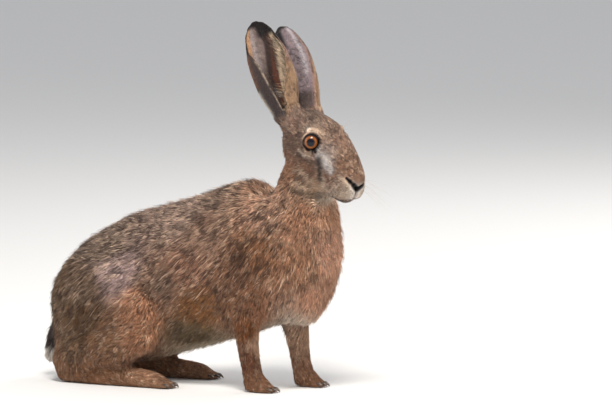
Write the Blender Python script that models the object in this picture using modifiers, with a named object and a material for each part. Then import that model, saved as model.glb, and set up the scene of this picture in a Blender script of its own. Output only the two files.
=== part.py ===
"""A brown hare sitting alert with its ears up and its head turned to the right, at life size.

The row frame has +X where the hare's body faces, +Y to its left and +Z up, and the floor is z = 0.
The flesh is modelled whole, out to the tips of the coat, and is then parted by thin cuts.
Lengths below are in millimetres, and to_metres() turns them into Blender's metres.
"""

import math

import bmesh
import bpy
import numpy as np
from mathutils import Euler, Matrix, Vector

# Driving dimensions, in millimetres and degrees.
CUT = 0.35  # width of the thin cuts between the parts
BODY_VOXEL = 2.2
FLESH_TRIANGLES = 3650
SECTION_POINTS = 32
RINGS_PER_SPAN = 5

# The trunk, as stations along its length: x, top, bottom, half width, height of its widest line.
TRUNK = [
    (-167, 90, 26, 24, 54),
    (-157, 125, 18, 40, 60),
    (-138, 149, 15, 51, 70),
    (-104, 171, 15, 57, 86),
    (-68, 187, 20, 55, 98),
    (-30, 198, 29, 51, 108),
    (6, 208, 38, 50, 114),
    (36, 219, 46, 50, 122),
    (64, 228, 55, 49, 130),
    (88, 221, 64, 46, 134),
    (114, 194, 76, 43, 136),
    (134, 168, 90, 34, 132),
]

# The neck and chest, as stations up the column: x, y, z, lean, half width, depth to the nape, to the throat.
NECK = [
    (118, 0, 74, 64, 16, 22, 20),
    (123, 0, 90, 70, 33, 36, 29),
    (127, 0, 114, 80, 42, 46, 38),
    (129, 0, 142, 86, 45, 50, 43),
    (131, -1, 170, 88, 43, 48, 42),
    (134, -3, 196, 88, 37, 40, 37),
    (139, -6, 220, 85, 31, 36, 31),
    (143, -9, 240, 80, 25, 28, 25),
    (148, -11, 256, 76, 16, 14, 16),
]

# The head's own frame lies between the eyes, with x to the nose, y to the left and z up.
HEAD_PLACE = (165, -14, 269)
HEAD_TURN = -20  # degrees about the vertical: it looks to its right
HEAD_PITCH = 25  # degrees that the muzzle points down

# The skull, as stations towards the nose: x, top, bottom, half width, height of its widest line.
SKULL = [
    (-53, 2, -28, 14, -12),
    (-46, 14, -40, 20, -14),
    (-34, 20.5, -48, 24.5, -17),
    (-16, 24, -53, 27, -20),
    (2, 24.5, -53, 27, -21),
    (18, 20.5, -52, 25, -23),
    (34, 14, -49, 21.5, -25),
    (48, 6, -45.5, 18.5, -26),
    (58, -1.5, -41, 15.5, -25),
    (65.5, -10, -34, 10, -23),
]

EYE_RADIUS = 9.6
EYE_PLACE = (-1.0, 20.5, 1.5)  # left eye in the head's frame

EAR_LENGTH = 127  # from inside its root to the tip, about 105 of it free
EAR_THICKNESS = 2.6
# The leaf: share of its length, half width, depth, degrees round to its rear edge and to its front edge.
EAR_LEAF = [
    (0.0, 10, 9, 150, 150),
    (0.1, 11.8, 10.5, 170, 164),
    (0.2, 14.2, 11.5, 172, 164),
    (0.3, 18.1, 11.5, 168, 168),
    (0.4, 21.3, 11, 163, 152),
    (0.5, 22.1, 10, 159, 138),
    (0.6, 22.3, 9.5, 154, 120),
    (0.7, 21.2, 9, 142, 106),
    (0.8, 17.6, 8, 106, 96),
    (0.9, 14.3, 7, 84, 88),
    (0.97, 9, 5, 66, 72),
    (1.0, 3, 3, 40, 40),
]
EARS = {
    1: ((-32.5, 8.5, -1), (-110, 18, 64), (4, 0, 2), 86, 103),
    -1: ((-38, -14.4, -7.6), (-91.5, -12.5, 83.5), (1.2, 1.5, 0.6), -42, -50),
}
EAR_ROWS = 12
EAR_COLUMNS = 11

LEFT_AHEAD = 22  # how far the left foreleg stands ahead of the right

COLOURS = {
    "coat_back": ((0.20, 0.13, 0.08), 0.9),
    "coat_thigh": ((0.27, 0.17, 0.10), 0.9),
    "coat_chest": ((0.33, 0.18, 0.10), 0.9),
    "coat_face": ((0.25, 0.16, 0.10), 0.9),
    "coat_legs": ((0.36, 0.21, 0.13), 0.9),
    "coat_tail": ((0.55, 0.52, 0.48), 0.9),
    "ear": ((0.22, 0.17, 0.14), 0.85),
    "eye": ((0.10, 0.035, 0.01), 0.12),
}
SLOT_OF = {
    "trunk": "coat_back",
    "thigh": "coat_thigh",
    "neck": "coat_chest",
    "head": "coat_face",
    "foreleg": "coat_legs",
    "forepaw": "coat_legs",
    "hind_foot": "coat_legs",
    "tail": "coat_tail",
    "ear": "ear",
    "eye": "eye",
}


def to_metres(*lengths):
    return Vector(lengths) * 0.001


def head_matrix():
    """From the head's frame in metres to the row frame."""
    turn = Euler((0, math.radians(HEAD_PITCH), math.radians(HEAD_TURN)), "XYZ").to_matrix().to_4x4()
    return Matrix.Translation(to_metres(*HEAD_PLACE)) @ turn


def clear_scene():
    for obj in list(bpy.data.objects):
        bpy.data.objects.remove(obj, do_unlink=True)


def new_collection(name, hidden):
    collection = bpy.data.collections.new(name)
    bpy.context.scene.collection.children.link(collection)
    collection.hide_render = hidden
    return collection


def mesh_object(name, bm, collection):
    """A new object that takes over the bmesh, with its faces pointing out."""
    bmesh.ops.recalc_face_normals(bm, faces=bm.faces)
    mesh = bpy.data.meshes.new(name)
    bm.to_mesh(mesh)
    bm.free()
    obj = bpy.data.objects.new(name, mesh)
    collection.objects.link(obj)
    return obj


def spline_stations(stations):
    """Stations read from a Catmull-Rom curve through the given ones."""
    points = np.array(stations, float)
    padded = np.vstack([2 * points[0] - points[1], points, 2 * points[-1] - points[-2]])
    smooth = []
    for i in range(1, len(padded) - 2):
        p0, p1, p2, p3 = padded[i - 1 : i + 3]
        for step in range(RINGS_PER_SPAN):
            t = step / RINGS_PER_SPAN
            bend = (2 * p0 - 5 * p1 + 4 * p2 - p3) * t * t + (3 * p1 - p0 - 3 * p2 + p3) * t**3
            smooth.append(0.5 * (2 * p1 + (p2 - p0) * t + bend))
    smooth.append(points[-1])
    return smooth


def section(half_width, above, below, fullness):
    """A closed outline as (across, up) pairs, an ellipse whose upper and lower halves differ."""
    outline = []
    for i in range(SECTION_POINTS):
        a = 2 * math.pi * i / SECTION_POINTS
        c, s = math.cos(a), math.sin(a)
        across = math.copysign(abs(c) ** (2 / fullness), c) * half_width
        up = math.copysign(abs(s) ** (2 / fullness), s) * (above if s > 0 else below)
        outline.append((across, up))
    return outline


def skin_rings(rings):
    """A bmesh through closed rings of points, with both ends filled."""
    bm = bmesh.new()
    loops = [[bm.verts.new(p) for p in ring] for ring in rings]
    count = len(loops[0])
    for low, high in zip(loops, loops[1:]):
        for i in range(count):
            j = (i + 1) % count
            bm.faces.new((low[i], low[j], high[j], high[i]))
    bm.faces.new(loops[0])
    bm.faces.new(loops[-1])
    return bm


def loft_along_x(name, stations, collection, fullness=2.2, matrix=None):
    """A loft of upright sections, from (x, top, bottom, half width, widest height) stations."""
    rings = []
    for x, top, bottom, half_width, widest in spline_stations(stations):
        outline = section(half_width, top - widest, widest - bottom, fullness)
        rings.append([to_metres(x, across, widest + up) for across, up in outline])
    obj = mesh_object(name, skin_rings(rings), collection)
    if matrix is not None:
        obj.data.transform(matrix)
    return obj


def loft_leaning(name, stations, collection, fullness=2.2):
    """A loft from (x, y, z, lean, half width, back depth, front depth) stations."""
    rings = []
    for x, y, z, lean, half_width, back, front in spline_stations(stations):
        a = math.radians(lean)
        backwards = Vector((-math.sin(a), 0, math.cos(a)))
        outline = section(half_width, back, front, fullness)
        ring = [to_metres(x, y + across, z) + backwards * up * 0.001 for across, up in outline]
        rings.append(ring)
    return mesh_object(name, skin_rings(rings), collection)


def ellipsoid(name, centre, radii, collection, turn=(0, 0, 0), matrix=None, segments=24):
    """An ellipsoid from a sphere. The turn is in degrees about x, y and z."""
    bm = bmesh.new()
    bmesh.ops.create_uvsphere(bm, u_segments=segments, v_segments=segments // 2, radius=1.0)
    scale = Matrix.Diagonal((*to_metres(*radii), 1))
    rotation = Euler([math.radians(a) for a in turn]).to_matrix().to_4x4()
    bm.transform(Matrix.Translation(to_metres(*centre)) @ rotation @ scale)
    if matrix is not None:
        bm.transform(matrix)
    return mesh_object(name, bm, collection)


def limb(name, joints, collection):
    """A tapered round limb through (x, y, z, radius) joints, as a bevelled curve made a mesh."""
    curve = bpy.data.curves.new(name, "CURVE")
    curve.dimensions = "3D"
    curve.bevel_depth = 0.001
    curve.bevel_resolution = 5
    curve.use_fill_caps = True
    spline = curve.splines.new("POLY")
    smooth = spline_stations(joints)
    spline.points.add(len(smooth) - 1)
    for point, (x, y, z, radius) in zip(spline.points, smooth):
        point.co = (*to_metres(x, y, z), 1)
        point.radius = radius
    obj = bpy.data.objects.new(name + "_line", curve)
    collection.objects.link(obj)
    bpy.context.view_layer.update()
    graph = bpy.context.evaluated_depsgraph_get()
    mesh = bpy.data.meshes.new_from_object(obj.evaluated_get(graph))
    bpy.data.objects.remove(obj, do_unlink=True)
    bm = bmesh.new()
    bm.from_mesh(mesh)
    bmesh.ops.remove_doubles(bm, verts=bm.verts, dist=1e-6)
    ends = [joints[0], joints[-1]]
    tube = mesh_object(name, bm, collection)
    balls = [ellipsoid(f"{name}_end", j[:3], (j[3],) * 3, collection) for j in ends]
    return [tube, *balls]


def evaluated_mesh(obj):
    """The object's mesh with its modifiers applied, as a new mesh."""
    bpy.context.view_layer.update()
    graph = bpy.context.evaluated_depsgraph_get()
    return bpy.data.meshes.new_from_object(obj.evaluated_get(graph))


def apply_modifiers(obj):
    obj.data = evaluated_mesh(obj)
    obj.modifiers.clear()


def join_meshes(name, objects, collection):
    """One object that holds all the given meshes, which are removed."""
    bm = bmesh.new()
    for obj in objects:
        bm.from_mesh(obj.data)
        bpy.data.objects.remove(obj, do_unlink=True)
    return mesh_object(name, bm, collection)


def both_sides(make):
    """The pieces that make(side) gives for the left side, +1, and the right side, -1."""
    pieces = []
    for side in (1, -1):
        made = make(side)
        pieces.extend(made if isinstance(made, list) else [made])
    return pieces


def toes(name, centre, spread, length, radius, drop, count, work):
    """Toes side by side at the end of a paw, as short limbs that fan out from (x, y, z)."""
    x, y, z = centre
    pieces = []
    for i in range(count):
        across = (i / (count - 1) - 0.5) * 2
        reach = length * (1 - 0.18 * across * across)
        root = (x, y + spread * 0.55 * across, z, radius)
        knuckle = (x + reach * 0.55, y + spread * 0.9 * across, z - drop * 0.3, radius)
        tip = (x + reach, y + spread * across, z - drop, radius * 0.8)
        pieces += limb(f"{name}_toe", [root, knuckle, tip], work)
    return pieces


def hind_leg(side, work):
    """Haunch, shank and long hind foot, folded as in a sitting hare."""
    haunch = ellipsoid("haunch", (-90, 34 * side, 86), (73, 37, 66), work, turn=(0, 12, 0))
    thigh = ellipsoid("thigh", (-60, 45 * side, 74), (44, 27, 46), work, turn=(0, 24, 0))
    shank = limb(
        "shank",
        [
            (-41, 50 * side, 54, 21),
            (-66, 52 * side, 46, 25),
            (-106, 48 * side, 38, 25),
            (-136, 42 * side, 26, 19),
        ],
        work,
    )
    foot = limb(
        "foot",
        [
            (-134, 44 * side, 12, 15),
            (-94, 47 * side, 8, 14),
            (-44, 49 * side, 7, 13.5),
            (-22, 50 * side, 5, 12),
        ],
        work,
    )
    return [haunch, thigh] + shank + foot + toes("hind", (-26, 50 * side, 4), 10, 24, 5.5, 1.0, 4, work)


def foreleg(side, work):
    """Shoulder, upper arm, forearm and paw. The left leg stands a little ahead of the right."""
    ahead = LEFT_AHEAD if side > 0 else 0
    shoulder = ellipsoid("shoulder", (86, 25 * side, 146), (44, 27, 66), work, turn=(0, 20, 0))
    chest_side = ellipsoid("chest_side", (108, 20 * side, 112), (42, 27, 42), work, turn=(0, 20, 0))
    upper_arm = ellipsoid(
        "upper_arm", (94 + ahead * 0.3, 31 * side, 102), (38, 21, 26), work, turn=(0, -38, 0)
    )
    forearm = limb(
        "forearm",
        [
            (80 + ahead * 0.8, 35 * side, 88, 20),
            (81 + ahead, 36 * side, 60, 15),
            (85 + ahead, 36 * side, 32, 12),
            (89 + ahead, 36 * side, 14, 11.5),
        ],
        work,
    )
    paw = limb("paw", [(88 + ahead, 36 * side, 8, 11), (98 + ahead, 36 * side, 6, 11.5)], work)
    fingers = toes("fore", (97 + ahead, 36 * side, 4), 8, 17, 4.8, 0.8, 4, work)
    return [shoulder, chest_side, upper_arm] + forearm + paw + fingers


def head_forms(work):
    """The skull with its brows, cheeks, whisker pads, nose and chin, in the head's frame."""
    place = head_matrix()
    forms = [loft_along_x("skull", SKULL, work, fullness=2.15, matrix=place)]

    def form(name, centre, radii, turn=(0, 0, 0)):
        forms.append(ellipsoid(name, centre, radii, work, turn=turn, matrix=place))

    for side in (1, -1):
        x, y, z = EYE_PLACE
        form("orbit", (x, (y - 5) * side, z), (14.5, 9.5, 13), (0, 0, -6 * side))
        form("brow", (x + 0.5, y * side, z + 11.5), (13, 7, 4.5), (16 * side, -8, -6 * side))
        form("ear_base", (-44, 13.5 * side, 5), (14.5, 14, 21), (0, -50, 0))
        form("cheek", (-8, 15 * side, -28), (26, 13.5, 20), (0, 14, 0))
        form("below_eye", (12, 18 * side, -12), (19, 8, 8), (0, 30, -12 * side))
        form("whisker_pad", (50, 9 * side, -28), (15, 9.5, 10.5), (0, 20, -10 * side))
    form("nose", (59.5, 0, -12), (8.5, 9.5, 9.5), (0, 30, 0))
    form("chin", (50, 0, -39), (9.5, 9, 7))
    return forms


def whole_flesh(work):
    """The whole hare but its ears and eyes, as one closed surface that runs a little below the floor."""
    forms = [
        loft_along_x("trunk", TRUNK, work),
        loft_leaning("neck", NECK, work),
        *both_sides(lambda side: hind_leg(side, work)),
        *both_sides(lambda side: foreleg(side, work)),
        *head_forms(work),
        *limb("tail", [(-148, 0, 74, 18), (-166, 0, 56, 16), (-177, -1, 38, 13), (-181, -2, 22, 10)], work),
    ]
    flesh = join_meshes("flesh", forms, work)
    remesh = flesh.modifiers.new("blend", "REMESH")
    remesh.mode = "VOXEL"
    remesh.voxel_size = BODY_VOXEL * 0.001
    apply_modifiers(flesh)
    weigh(flesh)
    for group, rounds in (("body", 30), ("all", 3)):
        smooth = flesh.modifiers.new(group, "SMOOTH")
        smooth.vertex_group = group
        smooth.iterations = rounds
    apply_modifiers(flesh)
    thin_out = flesh.modifiers.new("thin_out", "DECIMATE")
    triangles = sum(len(face.vertices) - 2 for face in flesh.data.polygons)
    thin_out.ratio = FLESH_TRIANGLES / triangles
    apply_modifiers(flesh)
    return flesh


def weigh(flesh):
    """Vertex groups for the modifiers: all of it, and the body without the head and the feet."""
    to_head = head_matrix().inverted()
    body = flesh.vertex_groups.new(name="body")
    whole = flesh.vertex_groups.new(name="all")
    for vertex in flesh.data.vertices:
        local = (to_head @ vertex.co) * 1000
        off_head = max(-44 - local.z, -40 - local.x) / 12
        off_feet = (vertex.co.z * 1000 - 18) / 14
        body.add([vertex.index], min(max(min(off_head, off_feet), 0.02), 1), "REPLACE")
        whole.add([vertex.index], 1.0, "REPLACE")


def ear_sheet(side):
    """The ear's middle surface as a rolled leaf that twists outwards, in a bmesh in the row frame."""
    place = head_matrix()
    root, along, bow, first_heading, last_heading = EARS[side]
    root, bow, along = Vector(root), Vector(bow), Vector(along).normalized()
    pitch = math.radians(HEAD_PITCH)
    shares, *shapes = zip(*EAR_LEAF)
    bm = bmesh.new()
    grid = []
    for row in range(EAR_ROWS + 1):
        t = row / EAR_ROWS
        t = 1 - (1 - t) ** 1.35  # rows gather towards the tip
        heading = math.radians(first_heading + (last_heading - first_heading) * min(t / 0.7, 1))
        level = Vector(
            (math.cos(heading) * math.cos(pitch), math.sin(heading), math.cos(heading) * math.sin(pitch))
        )
        opens = (level - along * level.dot(along)).normalized()
        to_front = along.cross(opens) * -side
        half_width, depth, rear, front = (float(np.interp(t, shares, shape)) for shape in shapes)
        spine = root + along * EAR_LENGTH * t + bow * math.sin(math.pi * t)
        line = []
        for column in range(EAR_COLUMNS + 1):
            a = math.radians(-rear + (rear + front) * column / EAR_COLUMNS)
            point = spine + to_front * half_width * math.sin(a) - opens * depth * math.cos(a)
            line.append(bm.verts.new(place @ (point * 0.001)))
        grid.append(line)
    for low, high in zip(grid, grid[1:]):
        for i in range(EAR_COLUMNS):
            bm.faces.new((low[i], low[i + 1], high[i + 1], high[i]))
    return bm


def ear(name, side, collection):
    """A leaf of even thickness, as the sheet with Solidify."""
    bm = ear_sheet(side)
    mesh = bpy.data.meshes.new(name)
    bm.to_mesh(mesh)
    bm.free()
    obj = bpy.data.objects.new(name, mesh)
    collection.objects.link(obj)
    thick = obj.modifiers.new("thickness", "SOLIDIFY")
    thick.thickness = EAR_THICKNESS * 0.001
    thick.offset = 0
    apply_modifiers(obj)
    bm = bmesh.new()
    bm.from_mesh(obj.data)
    bmesh.ops.recalc_face_normals(bm, faces=bm.faces)
    bm.to_mesh(obj.data)
    bm.free()
    return obj


def block(name, centre, size, work, turn=(0, 0, 0)):
    """A box given by its centre, its size and its turn in degrees about x, y and z."""
    bm = bmesh.new()
    bmesh.ops.create_cube(bm, size=1.0)
    scale = Matrix.Diagonal((*to_metres(*size), 1))
    rotation = Euler([math.radians(a) for a in turn]).to_matrix().to_4x4()
    bm.transform(Matrix.Translation(to_metres(*centre)) @ rotation @ scale)
    return mesh_object(name, bm, work)


def coloured(name, color, roughness):
    material = bpy.data.materials.new(name)
    material.use_nodes = True
    shader = material.node_tree.nodes["Principled BSDF"]
    shader.inputs["Base Color"].default_value = (*color, 1)
    shader.inputs["Roughness"].default_value = roughness
    shader.inputs["Metallic"].default_value = 0.0
    return material


def boolean(obj, cutter, operation):
    """Cuts the object by the other solid, which is kept as a wire guide."""
    cut = obj.modifiers.new("cut", "BOOLEAN")
    cut.operation = operation
    cut.solver = "EXACT"
    cut.object = cutter
    apply_modifiers(obj)
    cutter.hide_render = True
    cutter.display_type = "WIRE"


def take(flesh, name, make, hare):
    """Parts a piece off the flesh. make(grow) gives the solid around it, grown all round by some mm."""
    piece = flesh.copy()
    piece.name = name
    hare.objects.link(piece)
    boolean(piece, make(0.0), "INTERSECT")
    boolean(flesh, make(CUT), "DIFFERENCE")
    return piece


def grown_ball(name, centre, radii, work, turn=(0, 0, 0), matrix=None):
    return lambda grow: ellipsoid(
        name, centre, [r + grow for r in radii], work, turn=turn, matrix=matrix, segments=16
    )


def grown_block(name, centre, size, work, turn=(0, 0, 0)):
    return lambda grow: block(name, centre, [length + 2 * grow for length in size], work, turn=turn)


def grown_copy(obj, work):
    """The object pushed out by the width of a cut along its normals."""
    guide = obj.copy()
    guide.data = obj.data.copy()
    guide.name = obj.name + "_grown"
    work.objects.link(guide)
    normals = [vertex.normal.copy() for vertex in guide.data.vertices]
    for vertex, normal in zip(guide.data.vertices, normals):
        vertex.co += normal * CUT * 0.001
    return guide


def part_body(flesh, work, hare):
    """Parts the flesh into the head, tail, legs, neck and trunk."""
    boolean(flesh, block("floor", (0, 0, -50), (900, 400, 100), work), "DIFFERENCE")
    head = grown_block("head_region", (194, 0, 298), (200, 160, 180), work, turn=(0, 20, 0))
    take(flesh, "head", head, hare)
    tail = grown_ball("tail_region", (-186, -1, 38), (20, 18, 50), work, turn=(0, 20, 0))
    take(flesh, "tail", tail, hare)
    for side, word in ((1, "left"), (-1, "right")):
        ahead = LEFT_AHEAD if side > 0 else 0
        foot = grown_block("foot_region", (-76, 60 * side, 6), (200, 64, 28), work)
        take(flesh, f"hind_foot_{word}", foot, hare)
        haunch = grown_ball("thigh_region", (-88, 66 * side, 66), (84, 42, 92), work, turn=(0, 14, 0))
        take(flesh, f"thigh_{word}", haunch, hare)
        paw = grown_block("paw_region", (95 + ahead, 44 * side, 6), (60, 72, 28), work)
        take(flesh, f"forepaw_{word}", paw, hare)
        leg_place = (84 + ahead, 44 * side, 50)
        leg = grown_block("foreleg_region", leg_place, (76, 72, 92), work, turn=(0, -10, 0))
        take(flesh, f"foreleg_{word}", leg, hare)
    neck = grown_block("neck_region", (190, 0, 150), (150, 200, 300), work, turn=(0, 6, 0))
    take(flesh, "neck", neck, hare)
    flesh.name = "trunk"


def add_eyes_and_ears(work, hare):
    """The eyes in their sockets, and the ears up to the skin of the head."""
    head = hare.objects["head"]
    x, y, z = EYE_PLACE
    for side, word in ((1, "left"), (-1, "right")):
        socket = ellipsoid("socket", (x, y * side, z), (EYE_RADIUS + CUT,) * 3, work, matrix=head_matrix())
        boolean(head, socket, "DIFFERENCE")
        ellipsoid(f"eye_{word}", (x, y * side, z), (EYE_RADIUS,) * 3, hare, matrix=head_matrix())
    for side, word in ((1, "left"), (-1, "right")):
        leaf = ear(f"ear_{word}", side, hare)
        boolean(leaf, grown_copy(head, work), "DIFFERENCE")


def finish(hare):
    """Colours for the parts, and the middle of the hare's box brought over the origin."""
    materials = {slot: coloured(slot, color, roughness) for slot, (color, roughness) in COLOURS.items()}
    corners = [vertex.co.x for obj in hare.objects for vertex in obj.data.vertices]
    sideways = [vertex.co.y for obj in hare.objects for vertex in obj.data.vertices]
    shift = Vector((-(min(corners) + max(corners)) / 2, -(min(sideways) + max(sideways)) / 2, 0))
    for obj in hare.objects:
        obj.data.transform(Matrix.Translation(shift))
        obj.data.materials.clear()
        obj.data.materials.append(materials[SLOT_OF[obj.name.split("_left")[0].split("_right")[0]]])


def main():
    clear_scene()
    work = new_collection("construction", True)
    hare = new_collection("brown_hare", False)
    flesh = whole_flesh(work)
    work.objects.unlink(flesh)
    hare.objects.link(flesh)
    part_body(flesh, work, hare)
    add_eyes_and_ears(work, hare)
    finish(hare)


main()
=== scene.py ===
"""Looks of the sitting brown hare: one skin, its coat in solid tufts, eyes, claws and whiskers.

Shapes are worked out in millimetres in the drawing's own frame, in which the hare faces +X, its left is +Y
and the soles stand on z = 0. Head shapes use the head's frame: x to the nose, y to the left, z up.
"""

import math

import bmesh
import bpy
import numpy as np
from mathutils import Euler, Matrix, Vector
from mathutils.bvhtree import BVHTree
from mathutils.kdtree import KDTree

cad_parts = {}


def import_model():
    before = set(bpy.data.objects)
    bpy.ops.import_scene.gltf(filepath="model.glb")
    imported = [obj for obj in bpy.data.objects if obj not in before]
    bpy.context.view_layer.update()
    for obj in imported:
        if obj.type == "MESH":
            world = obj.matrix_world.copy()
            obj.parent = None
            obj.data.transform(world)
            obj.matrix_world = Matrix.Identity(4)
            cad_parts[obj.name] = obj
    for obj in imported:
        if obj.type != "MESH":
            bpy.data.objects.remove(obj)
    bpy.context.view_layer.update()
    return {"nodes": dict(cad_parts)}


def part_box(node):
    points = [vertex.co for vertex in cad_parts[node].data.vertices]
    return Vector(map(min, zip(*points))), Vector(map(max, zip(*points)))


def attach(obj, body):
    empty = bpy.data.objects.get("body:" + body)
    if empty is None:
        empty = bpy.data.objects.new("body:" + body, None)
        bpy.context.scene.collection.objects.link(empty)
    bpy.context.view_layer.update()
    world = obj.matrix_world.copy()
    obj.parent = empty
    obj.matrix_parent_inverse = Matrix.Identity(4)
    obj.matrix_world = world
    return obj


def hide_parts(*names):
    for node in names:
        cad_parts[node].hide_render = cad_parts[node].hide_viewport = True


SEED = 20
MM = 0.001  # the frame is in metres
SIDES = {"left": 1, "right": -1}
FLESH = ["head", "neck", "trunk", "tail"]
FLESH += [f"{part}_{word}" for part in ("foreleg", "forepaw", "thigh", "hind_foot") for word in SIDES]
CUT = 0.35  # width of the cuts between the flesh nodes
SKIN_VOXEL = 1.0
RELAXING = [(3, 0.0, 0.0), (5, 0.9, 0.0), (22, 1.0, 0.85)]  # rounds, and how far they spare ears and head
SKIN_TRIANGLES = 105000  # before the eyes, nose and toes are refined
WEIGHT_STEPS = 4  # levels of the weights in the decimation
FINEST = 0.25  # lowest weight in the decimation: places with none keep every triangle
THINNEST = 0.2  # depth of the skin under the drawing's surface where the coat is thinner than that
LUMP_DEPTH = 0.32  # share of the coat's depth that the skin's hollows take
LONG_COAT_DEPTH = 2.5  # only a coat deeper than this has hollows

HEAD_PLACE = np.array((165.0, -14.0, 269.0))
HEAD_TURN = -20
HEAD_PITCH = 25
EYE_RADIUS = 9.6
EYE_PLACE = np.array((-1.0, 20.5, 1.5))  # the left one, in the head's frame
EYE_OUT = 50  # degrees from the nose's direction to the eye's axis
EYE_RISE = 13
LID_OPENING = 68  # half the opening, in degrees at the eye's centre
LID_CORNER = 4.5  # how many degrees wider the opening is at its two corners
LID_REACH = (20, 26)  # distances from the eye's centre over which the shaping of the lids fades out
LID_GAP = 0.35  # between the ball and the lid
LID_THICKNESS = 0.8
LID_SWELL = 0.9  # height of the lid's rim
SOCKET_DEPTH = 2.2  # how far behind the ball's surface the skin lies inside the opening
LEFT_AHEAD = 22  # the left foreleg stands this far ahead of the right one

EAR_LENGTH = 127
EAR_LEAF = [
    # share of the length, half width, depth, degrees round to the rear edge and to the front edge
    (0.0, 10, 9, 150, 150),
    (0.1, 11.8, 10.5, 170, 164),
    (0.2, 14.2, 11.5, 172, 164),
    (0.3, 18.1, 11.5, 168, 168),
    (0.4, 21.3, 11, 163, 152),
    (0.5, 22.1, 10, 159, 138),
    (0.6, 22.3, 9.5, 154, 120),
    (0.7, 21.2, 9, 142, 106),
    (0.8, 17.6, 8, 106, 96),
    (0.9, 14.3, 7, 84, 88),
    (0.97, 9, 5, 66, 72),
    (1.0, 3, 3, 40, 40),
]
EARS = {  # root, direction, bow, and the headings it opens to at the root and at the tip
    1: ((-32.5, 8.5, -1), (-110, 18, 64), (4, 0, 2), 86, 103),
    -1: ((-38, -14.4, -7.6), (-91.5, -12.5, 83.5), (1.2, 1.5, 0.6), -42, -50),
}
EAR_SKIN = 2.0  # thickness of the ear's leaf under its short hair
EAR_LIGHTNESS = 0.82

# The lie of the coat: place, direction of the hair, hair length, coat depth, tuft width. Right side only.
LIE = [
    ((118, -3, 240), (-0.6, 0, -0.8), 12, 4.0, 1.5),
    ((85, -4, 222), (-1, 0, -0.15), 16, 6.0, 1.8),
    ((40, 0, 220), (-1, 0, -0.1), 17, 6.0, 1.8),
    ((-10, 0, 207), (-1, 0, -0.15), 17, 6.0, 1.8),
    ((-80, 0, 184), (-0.95, 0, -0.35), 17, 6.0, 1.8),
    ((-140, 0, 148), (-0.7, 0, -0.7), 18, 6.0, 1.8),
    ((-168, 0, 100), (-0.2, 0, -1), 18, 6.0, 1.8),
    ((-10, -35, 185), (-0.85, -0.05, -0.45), 17, 6.0, 1.8),
    ((30, -46, 161), (-0.7, 0, -0.7), 17, 6.0, 1.8),
    ((13, -49, 128), (-0.7, 0, -0.7), 17, 6.0, 1.8),
    ((-20, -48, 110), (-0.75, 0, -0.65), 16, 6.0, 1.8),
    ((23, -46, 88), (-0.75, 0.1, -0.6), 16, 6.0, 1.8),
    ((12, -26, 49), (-0.9, 0.2, -0.3), 17, 6.0, 1.8),
    ((10, 0, 42), (-1, 0, -0.05), 17, 6.0, 1.8),
    ((95, -50, 150), (-0.35, -0.05, -0.9), 17, 6.0, 1.8),
    ((105, -40, 196), (-0.5, 0, -0.85), 16, 5.5, 1.8),
    ((70, -46, 165), (-0.6, 0, -0.8), 17, 6.0, 1.8),
    ((74, -50, 129), (-0.5, 0, -0.85), 17, 6.0, 1.8),
    ((146, -38, 192), (-0.2, -0.05, -1), 14, 5.0, 1.7),
    ((131, -39, 215), (-0.3, 0, -0.95), 12, 4.5, 1.6),
    ((169, -14, 194), (0.02, 0, -1), 14, 5.0, 1.7),
    ((148, -41, 139), (-0.12, 0, -1), 17, 6.0, 1.8),
    ((170, -10, 150), (0, 0, -1), 17, 6.0, 1.8),
    ((158, -10, 100), (-0.35, 0, -0.9), 18, 6.0, 1.8),
    ((120, -5, 70), (-0.7, 0, -0.6), 20, 6.0, 1.8),
    ((87, -52, 87), (-0.15, 0, -1), 13, 4.0, 1.5),
    ((-89, -44, 150), (-0.7, -0.1, -0.7), 17, 6.0, 1.8),
    ((-67, -61, 124), (-0.65, 0, -0.75), 16, 5.5, 1.8),
    ((-105, -69, 92), (-0.5, 0, -0.85), 16, 5.5, 1.8),
    ((-150, -45, 100), (-0.4, 0.2, -0.9), 17, 6.0, 1.8),
    ((-32, -63, 90), (-0.45, 0, -0.9), 14, 5.0, 1.6),
    ((-38, -69, 61), (-0.7, 0, -0.6), 11, 3.5, 1.4),
    ((-75, -68, 50), (-0.8, 0, -0.55), 12, 4.0, 1.5),
    ((-120, -55, 45), (-0.7, 0, -0.7), 13, 4.0, 1.5),
    ((-140, -44, 14), (0.2, 0, -0.9), 7, 1.8, 1.1),
    ((-90, -48, 13), (0.95, 0, -0.25), 7, 1.8, 1.1),
    ((-25, -50, 8), (1, 0, -0.35), 6, 1.4, 1.0),
    ((-163, 0, 70), (-0.7, 0, -0.7), 15, 5.0, 1.7),
    ((-182, -1, 30), (-0.35, 0, -1), 14, 4.5, 1.7),
]
FORELEG_LIE = [
    ((88, -46, 66), (-0.1, 0, -1), 9, 2.6, 1.2),
    ((91, -46, 36), (0.0, 0, -1), 8, 2.2, 1.1),
    ((94, -46, 14), (0.5, 0, -0.8), 6, 1.6, 1.0),
    ((106, -46, 8), (0.9, 0, -0.4), 5, 1.2, 0.9),
]
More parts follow.
